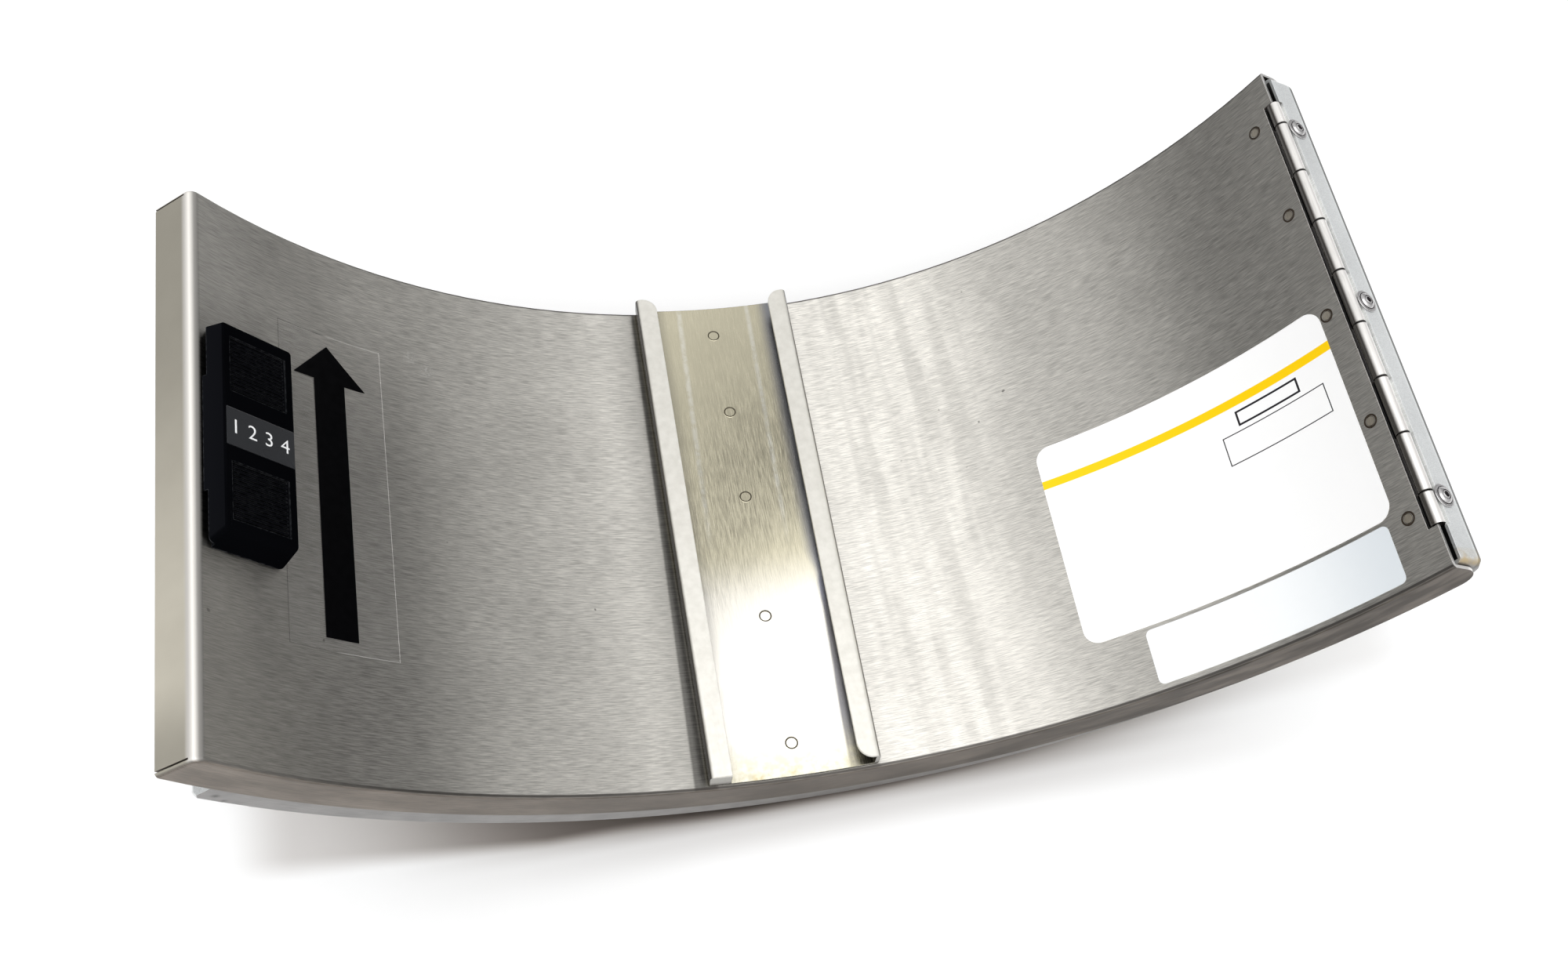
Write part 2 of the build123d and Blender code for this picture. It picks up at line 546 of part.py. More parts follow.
with BuildPart() as lead_foil:
    with BuildSketch(cover_side):
        add(band(leaf_top, foil_out, pad_from, leaf_end_deg - angle(PAD_INSET)))
    extrude(amount=half_film, both=True)
lead_foil.part.label = "lead_foil"

with BuildPart() as pressure_pad:
    with BuildSketch(cover_side):
        add(band(foil_out + LAYER_GAP, rear_screen_in - LAYER_GAP, pad_from, pad_to))
    extrude(amount=half_film - PAD_INSET, both=True)
    with BuildSketch(cover_side):
        add(band(0, pad_in, leaf_end_deg - angle(2 * PAD_INSET), past_deg))
    extrude(amount=half_film, both=True, mode=Mode.SUBTRACT)
pressure_pad.part.label = "pressure_pad"

with BuildPart() as rear_screen:
    with BuildSketch(cover_side):
        add(band(rear_screen_in, rear_screen_out, screen_from, screen_to))
    extrude(amount=half_film, both=True)
rear_screen.part.label = "rear_screen"

with BuildPart() as front_screen:
    with BuildSketch(tray_side):
        add(band(front_screen_in, front_screen_out, screen_from, screen_to))
    extrude(amount=half_film, both=True)
front_screen.part.label = "front_screen"

seal_from = tray_in_deg + angle(LATCH_SEAL_GAP + LATCH_SEAL_WIDTH)
hinge_seal_to = pin_deg - angle(HINGE_SEAL_BACK)
hinge_seal_from = hinge_seal_to - angle(HINGE_SEAL_WIDTH)
with BuildPart() as side_light_seals:
    for y in (-seal_out + SEAL_WIDTH, seal_out):
        with BuildSketch(at_width(tray_side, y)):
            add(band(COVER_SHEET + SEAL_TOP_CLEAR, front_screen_out, seal_from, hinge_seal_to))
        extrude(amount=SEAL_WIDTH)
side_light_seals.part.label = "side_light_seals"

half_end_seal = seal_out - SEAL_WIDTH - SEAL_SIDE_CLEAR
with BuildPart() as hinge_light_seal:
    with BuildSketch(tray_side):
        add(band(HINGE_SEAL_DEPTH, front_screen_out, hinge_seal_from, hinge_seal_to))
    extrude(amount=half_end_seal, both=True)
hinge_light_seal.part.label = "hinge_light_seal"

with BuildPart() as latch_light_seal:
    with BuildSketch(tray_side):
        add(band(LATCH_SEAL_DEPTH, front_screen_out, seal_from - angle(LATCH_SEAL_WIDTH), seal_from))
    extrude(amount=half_end_seal, both=True)
latch_light_seal.part.label = "latch_light_seal"

# ================================================================ latch
block_plane = Plane(origin=block_seat.origin + Vector(0, LATCH_TRAVEL / 2, 0), x_dir=block_seat.x_dir,
                    z_dir=block_seat.z_dir)
recess_length = BLOCK_LENGTH - 2 * BLOCK_SKIRT_END
guide_length = recess_length - LATCH_TRAVEL - 2 * GUIDE_CLEAR
recess_width = BLOCK_WIDTH - 2 * BLOCK_SKIRT_SIDE
guide_width = recess_width - 2 * GUIDE_CLEAR
recess_top = GUIDE_SHEET + GUIDE_CLEAR

with BuildPart() as latch_guide:
    with BuildSketch(block_seat):
        Rectangle(guide_width, guide_length)
        with GridLocations(0, STUD_SPACING, 1, 2):
            SlotOverall(slot_length, slot_width, rotation=90, mode=Mode.SUBTRACT)
    extrude(amount=GUIDE_SHEET)
    with BuildSketch(cover_side):
        add(band(-LABEL_GAP, GUIDE_SHEET, block_deg - angle(guide_width), block_deg + angle(guide_width)))
    extrude(amount=guide_length, both=True, mode=Mode.SUBTRACT)
latch_guide.part.label = "latch_guide"

crown_x = (BLOCK_LATCH_DRAFT - BLOCK_HINGE_DRAFT) / 2
crown_y = (BLOCK_NEAR_DRAFT - BLOCK_FAR_DRAFT) / 2
crown_width = BLOCK_WIDTH - BLOCK_LATCH_DRAFT - BLOCK_HINGE_DRAFT
with BuildPart() as latch_block:
    with BuildSketch(block_plane.offset(BLOCK_LIFT)) as foot:
        Rectangle(BLOCK_WIDTH, BLOCK_LENGTH)
        fillet(corner_at(foot, (BLOCK_WIDTH / 2, -BLOCK_LENGTH / 2)), BLOCK_ROUND)
    with BuildSketch(block_plane.offset(BLOCK_TOP)) as crown:
        with Locations((crown_x, crown_y)):
            Rectangle(crown_width, BLOCK_LENGTH - BLOCK_FAR_DRAFT - BLOCK_NEAR_DRAFT)
        fillet(corner_at(crown, (BLOCK_WIDTH / 2, -BLOCK_LENGTH / 2)), BLOCK_ROUND)
    loft()
    crown_face = latch_block.faces().sort_by(Axis(block_plane.origin, block_plane.z_dir))[-1]
    fillet(crown_face.edges(), BLOCK_EDGE)
    with BuildSketch(block_plane.offset(recess_top)):
        Rectangle(recess_width, recess_length)
    extrude(amount=-recess_top, mode=Mode.SUBTRACT)
    with BuildSketch(block_plane.offset(BLOCK_LIFT)):
        with Locations((-BLOCK_WIDTH / 2, 0)):
            with GridLocations(0, BLOCK_LENGTH - UNDERCUT_LENGTH, 1, 2):
                Rectangle(2 * UNDERCUT_WIDTH, UNDERCUT_LENGTH)
    extrude(amount=UNDERCUT_HEIGHT, mode=Mode.SUBTRACT)
    with BuildSketch(block_plane.offset(BLOCK_TOP)):
        with Locations((0, PAD_SHIFT)):
            with GridLocations(0, PAD_SPACING, 1, 2):
                Rectangle(PAD_WIDTH, PAD_LENGTH)
    extrude(amount=-PAD_POCKET, mode=Mode.SUBTRACT)
    with BuildSketch(block_plane.offset(BLOCK_TOP - PAD_POCKET)):
        with Locations((0, PAD_SHIFT)):
            with GridLocations(0, PAD_SPACING, 1, 2):
                with GridLocations(0, RIB_PITCH, 1, RIB_COUNT):
                    Rectangle(PAD_WIDTH, RIB_GROOVE)
    extrude(amount=-RIB_DEPTH, mode=Mode.SUBTRACT)
    with BuildSketch(block_plane.offset(recess_top)):
        with GridLocations(0, STUD_SPACING, 1, 2):
            Circle(STUD_RADIUS + STUD_FIT)
    extrude(amount=STUD_IN_BLOCK, mode=Mode.SUBTRACT)
latch_block.part.label = "latch_block"

with BuildPart() as number_tape:
    with BuildSketch(block_plane.offset(BLOCK_TOP)):
        with Locations((crown_x, TAPE_SHIFT)):
            Rectangle(crown_width - 2 * BLOCK_EDGE, TAPE_WIDTH)
    extrude(amount=TAPE_SHEET)
number_tape.part.label = "number_tape"

# ---- bolt: a strip under the cover with two fingers that hook under the keeper lips
bolt_top = COVER_SHEET + BOLT_CLEAR
bolt_under = bolt_top + BOLT_SHEET
finger_in = keeper_back + KEEPER_LIP + FINGER_CLEAR
finger_top = KEEPER_DEPTH + KEEPER_SHEET + KEEPER_GAP
finger_low = finger_top + BOLT_SHEET
finger_spots = [y + LATCH_TRAVEL for y in keeper_spots]
cover_wall = station(cover_side, tray_end_deg)
heel = cover_wall.origin + cover_wall.x_dir * finger_in - cover_wall.z_dir * bolt_under
heel_x = block_plane.to_local_coords(heel).X
with BuildPart() as latch_bolt:
    with BuildSketch(block_plane.offset(-bolt_under)):
        with Locations((heel_x, sum(finger_spots) / 2 - LATCH_TRAVEL / 2)):
            Rectangle(BOLT_TO_HINGE - heel_x, KEEPER_SPACING + FINGER_WIDTH + 2 * BOLT_END,
                      align=(Align.MIN, Align.CENTER))
    extrude(amount=BOLT_SHEET)
    for y in finger_spots:
        with BuildSketch(at_width(side_at(cover_wall), y + FINGER_WIDTH / 2)):
            with BuildLine():
                Polyline((finger_in, -bolt_under + BOLT_SHEET / 4), (finger_in, -finger_top),
                         (finger_in - FINGER_REACH + BOLT_SHEET, -finger_top),
                         (finger_in - FINGER_REACH + BOLT_SHEET, -finger_low),
                         (finger_in + BOLT_SHEET, -finger_low),
                         (finger_in + BOLT_SHEET, -bolt_under + BOLT_SHEET / 4), close=True)
            make_face()
        extrude(amount=FINGER_WIDTH)
    with BuildSketch(block_plane.offset(-bolt_under)):
        with GridLocations(0, STUD_SPACING, 1, 2):
            Circle(STUD_RADIUS + STUD_FIT)
    extrude(amount=BOLT_SHEET, mode=Mode.SUBTRACT)
latch_bolt.part.label = "latch_bolt"

with BuildPart() as latch_studs:
    with BuildSketch(block_plane.offset(-bolt_under - TOUCH)):
        with GridLocations(0, STUD_SPACING, 1, 2):
            Circle(STUD_RADIUS)
    extrude(amount=bolt_under + recess_top + STUD_IN_BLOCK)
    with BuildSketch(block_plane.offset(-bolt_under - TOUCH)):
        with GridLocations(0, STUD_SPACING, 1, 2):
            Circle(STUD_HEAD)
    extrude(amount=-STUD_HEAD_HEIGHT)
latch_studs.part.label = "latch_studs"

# ================================================================ labels
film_from = block_deg + angle(BLOCK_WIDTH / 2 + ARROW_FILM_TO_BLOCK)
with BuildPart() as arrow_film:
    with BuildSketch(at_width(cover_side, ARROW_FILM_SHIFT)):
        add(band(-LABEL_GAP - FILM_SHEET, -LABEL_GAP, film_from, film_from + angle(ARROW_FILM_WIDTH)))
    extrude(amount=ARROW_FILM_LENGTH / 2, both=True)
arrow_film.part.label = "arrow_film"

small_near = SMALL_LABEL_MARGIN - half_cover
small_to = pin_deg - angle(SMALL_LABEL_TO_HINGE)
with BuildPart() as small_label:
    with BuildSketch(at_width(cover_side, small_near + SMALL_LABEL_WIDTH)):
        add(band(-LABEL_GAP - LABEL_SHEET, -LABEL_GAP, small_to - angle(SMALL_LABEL_LENGTH), small_to))
    extrude(amount=SMALL_LABEL_WIDTH)
    fillet(small_label.edges().filter_by(lambda e: e.length < 2 * LABEL_SHEET), SMALL_LABEL_ROUND)
small_label.part.label = "small_label"

main_near = small_near + SMALL_LABEL_WIDTH + LABELS_APART
main_to = pin_deg - angle(MAIN_LABEL_TO_HINGE)
with BuildPart() as main_label:
    with BuildSketch(at_width(cover_side, main_near + MAIN_LABEL_WIDTH)):
        add(band(-LABEL_GAP - LABEL_SHEET, -LABEL_GAP, main_to - angle(MAIN_LABEL_LENGTH), main_to))
    extrude(amount=MAIN_LABEL_WIDTH)
    fillet(main_label.edges().filter_by(lambda e: e.length < 2 * LABEL_SHEET), MAIN_LABEL_ROUND)
main_label.part.label = "main_label"

os.makedirs("parts", exist_ok=True)
for piece in (
    front_tray, hinge_leaf_tray, hinge_pin, hinge_rivets, front_screen, side_light_seals, hinge_light_seal,
    latch_light_seal, latch_keepers, keeper_rivets, cover_shell, hinge_leaf_cover, mounting_channel,
    lead_foil, pressure_pad, rear_screen, latch_guide, arrow_film, main_label, small_label,
    latch_block, number_tape, latch_bolt, latch_studs,
):
    export_step(piece.part, f"parts/{piece.part.label}.step")
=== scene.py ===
import bpy, bmesh, json, math
from mathutils import Matrix, Vector


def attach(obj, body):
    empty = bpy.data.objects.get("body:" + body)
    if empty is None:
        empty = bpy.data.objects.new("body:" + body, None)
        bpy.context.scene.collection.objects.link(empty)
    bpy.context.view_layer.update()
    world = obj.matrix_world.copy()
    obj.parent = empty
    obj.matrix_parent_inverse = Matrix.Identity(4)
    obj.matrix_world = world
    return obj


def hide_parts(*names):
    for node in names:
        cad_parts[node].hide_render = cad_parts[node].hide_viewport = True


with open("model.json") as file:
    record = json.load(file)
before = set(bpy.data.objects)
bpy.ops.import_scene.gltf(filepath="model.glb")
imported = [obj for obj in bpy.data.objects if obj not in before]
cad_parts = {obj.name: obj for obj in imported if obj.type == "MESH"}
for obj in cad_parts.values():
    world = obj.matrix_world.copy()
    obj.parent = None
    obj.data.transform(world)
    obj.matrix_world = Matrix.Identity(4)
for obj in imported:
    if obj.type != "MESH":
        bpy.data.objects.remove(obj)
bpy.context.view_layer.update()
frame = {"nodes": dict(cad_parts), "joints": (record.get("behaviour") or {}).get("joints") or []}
scene = bpy.context.scene
nodes = frame["nodes"]

# ---- the two curves, in metres: arc lengths run from the cover's middle, + towards the hinge
RADIUS = 0.1525                 # concave face of the cover
PIN_ARC = 0.1554                # hinge pin along the arc
PIN_DEPTH = 0.0013              # hinge pin behind the concave face
AJAR = math.radians(3.4)        # how far the cover stands open
MM = 0.001
BUMP = 0.02 * MM                # how deep a fine texture's bump goes
NEAR_WIDTH = (0.05, 1, 0.03)    # nearly along the width, so that no face's normal is parallel to it
pin = Vector(next(j for j in frame["joints"] if j["name"] == "cover_hinge")["pos_m"])


def axis_from_pin(turned):
    """Where a curve's axis is in the side view, for a sheet turned by an angle about the pin."""
    angle = PIN_ARC / RADIUS - turned
    reach = RADIUS + PIN_DEPTH
    return pin.x - reach * math.sin(angle), pin.z + reach * math.cos(angle)


AXES = {"cover": axis_from_pin(AJAR), "tray": axis_from_pin(0.0)}
TURNS = {"cover": AJAR, "tray": 0.0}


def on_curve(sheet, arc, width, height=0.0):
    """The point at an arc length, a place along the width and a height above the concave face."""
    angle = arc / RADIUS - TURNS[sheet]
    reach = RADIUS - height
    x, z = AXES[sheet]
    return Vector((x + reach * math.sin(angle), width, z - reach * math.cos(angle)))


def seat(sheet, arc, width, height=0.0):
    """A frame on the curve: X along the arc towards the hinge, Y along the width, Z to the curve's axis."""
    angle = arc / RADIUS - TURNS[sheet]
    turn = Matrix.Rotation(-angle, 4, "Y")
    return Matrix.Translation(on_curve(sheet, arc, width, height)) @ turn


# ================================================================ camera
LENS, SENSOR_WIDTH = 35.225, 36.0
LENS_SHIFT = (-0.0405, 0.0626)
CAMERA_PLACE = (-0.022821, -0.186589, 0.382824)
CAMERA_RIGHT = (0.982723, -0.185041, -0.00398)
CAMERA_UP = (0.169488, 0.891069, 0.421034)
CAMERA_BACK = (-0.074362, -0.414434, 0.907036)


def camera():
    """The camera fitted to the photo."""
    data = bpy.data.cameras.new("camera")
    data.lens, data.sensor_width = LENS, SENSOR_WIDTH
    data.shift_x, data.shift_y = LENS_SHIFT
    data.clip_start, data.clip_end = 0.01, 20.0
    cam = bpy.data.objects.new("camera", data)
    cam.matrix_world = Matrix([(*row, 0) for row in zip(CAMERA_RIGHT, CAMERA_UP, CAMERA_BACK)] + [(0, 0, 0, 1)])
    cam.location = CAMERA_PLACE
    scene.collection.objects.link(cam)
    scene.camera = cam


# ================================================================ node helpers
def put(tree, kind, *values, **settings):
    """Adds a node, sets its properties and fills its inputs in order with values or other nodes' outputs."""
    node = tree.nodes.new(kind)
    for name, value in settings.items():
        setattr(node, name, value)
    for socket, value in zip(node.inputs, values):
        if isinstance(value, bpy.types.NodeSocket):
            tree.links.new(value, socket)
        elif value is not None:
            socket.default_value = value
    return node.outputs[0]


def calc(tree, operation, *values):
    return put(tree, "ShaderNodeMath", *values, operation=operation)


def times(tree, a, b):
    return calc(tree, "MULTIPLY", a, b)


def plus(tree, a, b):
    return calc(tree, "ADD", a, b)


def minus(tree, a, b):
    return calc(tree, "SUBTRACT", a, b)


def most(tree, a, b):
    return calc(tree, "MAXIMUM", a, b)


def unsigned(tree, value):
    return calc(tree, "ABSOLUTE", value)


def scaled(tree, value, gain, base):
    """A value times a gain, plus a base."""
    return calc(tree, "MULTIPLY_ADD", value, gain, base)


def mix(tree, factor, a, b):
    """A colour between two colours."""
    node = put(tree, "ShaderNodeMix", factor, data_type="RGBA").node
    for socket, value in zip((node.inputs[6], node.inputs[7]), (a, b)):
        if isinstance(value, bpy.types.NodeSocket):
            tree.links.new(value, socket)
        else:
            socket.default_value = (*value, 1) if len(value) == 3 else value
    return node.outputs[2]


def fade(tree, value, start, end, low=0.0, high=1.0):
    """A smooth step from low at start to high at end."""
    return put(tree, "ShaderNodeMapRange", value, start, end, low, high, interpolation_type="SMOOTHSTEP")


def vector(tree, x, y, z):
    return put(tree, "ShaderNodeCombineXYZ", x, y, z)


def noise(tree, place, scale, detail=2.0, roughness=0.5):
    return put(tree, "ShaderNodeTexNoise", place, None, scale, detail, roughness)


def within(tree, value, low, high, soft):
    """One between two limits, with soft edges."""
    rise = fade(tree, value, low - soft, low + soft)
    return times(tree, rise, fade(tree, value, high - soft, high + soft, 1.0, 0.0))


def new_material(name):
    made = bpy.data.materials.new(name)
    made.use_nodes = True
    return made, made.node_tree, made.node_tree.nodes["Principled BSDF"]


def places(tree, sheet):
    """Arc length, width and height above the concave face at each point, in metres."""
    source = tree.nodes.new("ShaderNodeTexCoord").outputs["Object"]
    parts = put(tree, "ShaderNodeSeparateXYZ", source).node.outputs
    x, z = AXES[sheet]
    across = minus(tree, parts[0], x)
    down = minus(tree, z, parts[2])
    angle = calc(tree, "ARCTAN2", across, down)
    arc = times(tree, plus(tree, angle, TURNS[sheet]), RADIUS)
    reach = put(tree, "ShaderNodeVectorMath", vector(tree, across, down, 0.0), operation="LENGTH")
    reach = reach.node.outputs["Value"]
    return arc, parts[1], minus(tree, RADIUS, reach)


def link(tree, value, bsdf, name):
    tree.links.new(value, bsdf.inputs[name])


def feed(bsdf, name):
    """The output that already fills one of the shader's sockets."""
    return bsdf.inputs[name].links[0].from_socket


def bump(tree, height, strength, distance):
    return put(tree, "ShaderNodeBump", strength, distance, None, height)


def grain(tree, along, across, depth, length, width):
    """Fine streaks: a noise drawn out along one direction."""
    stretched = vector(tree, calc(tree, "DIVIDE", along, length), calc(tree, "DIVIDE", across, width),
                       calc(tree, "DIVIDE", depth, width))
    return noise(tree, stretched, 1.0, 3.0, 0.6)


def edge_wear(tree, radius):
    """A normal that is rounded over edges, and a value that is one on sharp edges and nothing on flat faces."""
    rounded = put(tree, "ShaderNodeBevel", radius, samples=4)
    true = tree.nodes.new("ShaderNodeNewGeometry").outputs["Normal"]
    product = put(tree, "ShaderNodeVectorMath", rounded, true, operation="DOT_PRODUCT").node.outputs["Value"]
    return rounded, fade(tree, product, 0.995, 0.9)


def tint(tree, colour, amount):
    """A colour multiplied by a colour or a number."""
    if isinstance(amount, bpy.types.NodeSocket) and amount.type == "VALUE":
        amount = vector(tree, amount, amount, amount)
    return put(tree, "ShaderNodeVectorMath", colour, amount, operation="MULTIPLY")


def spot(tree, arc, width, place, radius, soft=0.5):
    """One inside a round place on a sheet, given in millimetres."""
    gap = vector(tree, minus(tree, arc, place[0] * MM), minus(tree, width, place[1] * MM), 0.0)
    far = put(tree, "ShaderNodeVectorMath", gap, operation="LENGTH").node.outputs["Value"]
    return fade(tree, far, (radius - soft) * MM, (radius + soft) * MM, 1.0, 0.0)


def normals(tree):
    """The three components of the surface's normal, in the object's own frame."""
    source = tree.nodes.new("ShaderNodeTexCoord").outputs["Normal"]
    return put(tree, "ShaderNodeSeparateXYZ", source).node.outputs


def steel(name, sheet, colour, roughness, lengthwise=True, streaks=0.12, blotches=0.05, spread=0.7, relief=0.25):
    """Brushed metal. Lengthwise grain runs round the arc, the other kind along the width."""
    made, tree, bsdf = new_material(name)
    arc, width, height = places(tree, sheet)
    along, across = (arc, width) if lengthwise else (width, arc)
    fine = grain(tree, along, across, height, 4 * MM, 0.24 * MM)
    coarse = grain(tree, along, across, height, 18 * MM, 1.3 * MM)
    cloud = noise(tree, vector(tree, arc, width, height), 38.0, 3.0)
    both = plus(tree, times(tree, fine, 0.86), times(tree, coarse, 0.14))
    shade = fade(tree, both, 0.3, 0.7, 1.0 - streaks, 1.0 + streaks)
    shade = times(tree, shade, fade(tree, cloud, 0.3, 0.7, 1.0 - blotches, 1.0 + blotches))
    base = tint(tree, colour, shade)
    rounded, wear = edge_wear(tree, 0.25 * MM)
    bright = tuple(min(1.0, 1.25 * c) for c in colour)
    link(tree, mix(tree, times(tree, wear, 0.5), base, bright), bsdf, "Base Color")
    link(tree, fade(tree, both, 0.25, 0.75, roughness - 0.06, roughness + 0.08), bsdf, "Roughness")
    normal = bump(tree, both, relief, BUMP)
    tree.links.new(rounded, normal.node.inputs["Normal"])
    link(tree, normal, bsdf, "Normal")
    bsdf.inputs["Metallic"].default_value = 1.0
    bsdf.inputs["Anisotropic"].default_value = spread
    if lengthwise:
        link(tree, vector(tree, 0.0, 1.0, 0.0), bsdf, "Tangent")
    else:
        true = tree.nodes.new("ShaderNodeNewGeometry").outputs["Normal"]
        side = put(tree, "ShaderNodeVectorMath", NEAR_WIDTH, true, operation="CROSS_PRODUCT")
        link(tree, side, bsdf, "Tangent")
    return made, tree, bsdf, (arc, width, height), base


# ================================================================ world and floor
# The studio in degrees from overhead: roll to the right, tilt away from the camera. A range is from, to, softness.
BOX_ROLL, BOX_TILT, BOX_LIGHT = (-25, 31, 6), (-40, 25.6, 1.3), 1.4
GAP_ROLL, GAP_TILT, GAP_LIGHT = (-20, 29, 6), (27.5, 33, 2.2), -0.5
FRONT_LIGHT = 0.4
BACKDROP = 0.92                 # what the camera itself sees
WALLS = ((-90, 0.17), (-66, 0.17), (-58, 0.28), (-52, 0.46), (-46, 0.74), (-40, 0.66), (-35, 0.74),
         (-30, 0.64), (31, 0.8), (43, 0.66), (56, 0.46), (70, 0.3), (80, 0.22), (90, 0.2))

# The floor's painted shadow in metres: distances out from the middle line, and spans along it with their softness.
FLOOR_HALF = 4.0
UNDER_SIDE, UNDER_SPAN = (0.0675, 0.074), (-0.075, 0.06, 0.05)              # dark, beside the flange
FAINT_SIDE, FAINT_SPAN = (0.074, 0.083), (-0.07, 0.085, 0.06)               # faint, further out
CORE_SIDE, CORE_WIDTH, CORE_SPAN = 0.0663, 0.0037, (-0.153, 0.15, 0.01)     # darkest, under the flange's edge
REST_FROM, REST_TO = -0.08, 0.03        # outside these the arc rises off the floor
CLOSE_SPAN = (-0.045, 0.018, 0.018)     # where it lies closest to the floor


def daylight():
    """A plain studio: a broad soft light overhead, a dark gap behind it and grey walls round it."""
    world = bpy.data.worlds.new("world")
    scene.world = world
    world.use_nodes = True
    tree = world.node_tree
    way = tree.nodes.new("ShaderNodeTexCoord").outputs["Generated"]
    x, y, z = put(tree, "ShaderNodeSeparateXYZ", way).node.outputs
    degrees = 180 / math.pi
    roll = times(tree, calc(tree, "ARCTAN2", x, z), degrees)
    tilt = times(tree, calc(tree, "ARCTAN2", y, z), degrees)
    box = times(tree, within(tree, roll, *BOX_ROLL), within(tree, tilt, *BOX_TILT))
    walls = put(tree, "ShaderNodeValToRGB", calc(tree, "DIVIDE", plus(tree, roll, 90.0), 180.0)).node
    ramp = walls.color_ramp
    for i, (angle, value) in enumerate(WALLS):
        at = (angle + 90) / 180
        stop = ramp.elements[i] if i < 2 else ramp.elements.new(at)
        stop.position, stop.color = at, (value, value, value, 1)
    front = fade(tree, tilt, -20, 5, 1.0, 0.0)
    gap = times(tree, within(tree, roll, *GAP_ROLL), within(tree, tilt, *GAP_TILT))
    shade = scaled(tree, box, BOX_LIGHT, walls.outputs[0])
    shade = scaled(tree, gap, GAP_LIGHT, shade)
    shade = scaled(tree, front, FRONT_LIGHT, shade)
    seen = tree.nodes.new("ShaderNodeLightPath").outputs["Is Camera Ray"]
    shade = scaled(tree, seen, minus(tree, BACKDROP, shade), shade)
    background = tree.nodes["Background"]
    background.inputs["Color"].default_value = (1, 1, 1, 1)
    tree.links.new(shade, background.inputs["Strength"])


def floor_shadow(tree, x, y):
    """How much of its brightness the floor keeps beside the cassette, in metres from the cassette's middle."""
    out = unsigned(tree, y)
    under = times(tree, fade(tree, out, *UNDER_SIDE, -0.62, 0.0), within(tree, x, *UNDER_SPAN))
    faint = times(tree, fade(tree, out, *FAINT_SIDE, -0.17, 0.0), within(tree, x, *FAINT_SPAN))
    # the dark core lies where a flange meets the floor, and spreads inwards where the arc rises off it
    left = most(tree, minus(tree, REST_FROM, x), 0.0)
    right = most(tree, minus(tree, x, REST_TO), 0.0)
    rise = scaled(tree, right, 0.8, left)
    close = within(tree, x, *CLOSE_SPAN)
    inner = scaled(tree, close, 0.0013, scaled(tree, rise, -0.11, CORE_SIDE))
    core = calc(tree, "DIVIDE", minus(tree, out, inner), scaled(tree, rise, 0.06, CORE_WIDTH))
    deep = times(tree, fade(tree, x, -0.15, -0.065, 0.33, 0.76), fade(tree, x, 0.0, 0.13, 1.0, 0.15))
    deep = scaled(tree, close, 0.1, times(tree, deep, within(tree, x, *CORE_SPAN)))
    touch = times(tree, fade(tree, core, 0.0, 1.0, -1.0, 0.0), deep)
    dim = times(tree, plus(tree, under, 1.0), plus(tree, faint, 1.0))
    return times(tree, dim, plus(tree, touch, 1.0))


def studio_floor():
    """White paper with the cassette's shadow, darker far out, where only reflections see it."""
    bm = bmesh.new()
    for x, y in ((-1, -1), (1, -1), (1, 1), (-1, 1)):
        bm.verts.new((x * FLOOR_HALF, y * FLOOR_HALF, 0))
    bm.faces.new(bm.verts)
    mesh = bpy.data.meshes.new("floor")
    bm.to_mesh(mesh)
    floor = bpy.data.objects.new("floor", mesh)
    scene.collection.objects.link(floor)
    made, tree, bsdf = new_material("floor")
    place = tree.nodes.new("ShaderNodeTexCoord").outputs["Object"]
    away = put(tree, "ShaderNodeVectorMath", place, operation="LENGTH").node.outputs["Value"]
    near = mix(tree, noise(tree, place, 30.0), (0.94, 0.94, 0.94), (0.97, 0.97, 0.97))
    x, y = put(tree, "ShaderNodeSeparateXYZ", place).node.outputs[:2]
    dim = floor_shadow(tree, x, y)
    warm = vector(tree, dim, calc(tree, "POWER", dim, 1.08), calc(tree, "POWER", dim, 1.14))
    seen = tree.nodes.new("ShaderNodeLightPath").outputs["Is Camera Ray"]
    far = times(tree, fade(tree, away, 0.42, 0.8), minus(tree, 1.0, seen))
    link(tree, mix(tree, far, tint(tree, near, warm), (0.42, 0.42, 0.43)), bsdf, "Base Color")
    bsdf.inputs["Roughness"].default_value = 0.8
    floor.data.materials.append(made)


# ================================================================ materials of the CAD nodes
KNUCKLE_START, KNUCKLE_PITCH = 53.6 * MM, 15.03 * MM    # one of the hinge's joint lines, and their spacing
PRINT_SOFT = 0.05 * MM                                  # how soft a printed edge is
LABEL_STRIPE = (-8.22, -5.85)                           # width from, to, in millimetres
LABEL_BOXES = (((119.7, 136.5, -13.45, -9.9), 0.55), ((114.55, 142.6, -22.6, -15.0), 0.28))


def assign(made, *names):
    for name in names:
        materials = nodes[name].data.materials
        for i in range(len(materials)):
            materials[i] = made
        if not len(materials):
            materials.append(made)


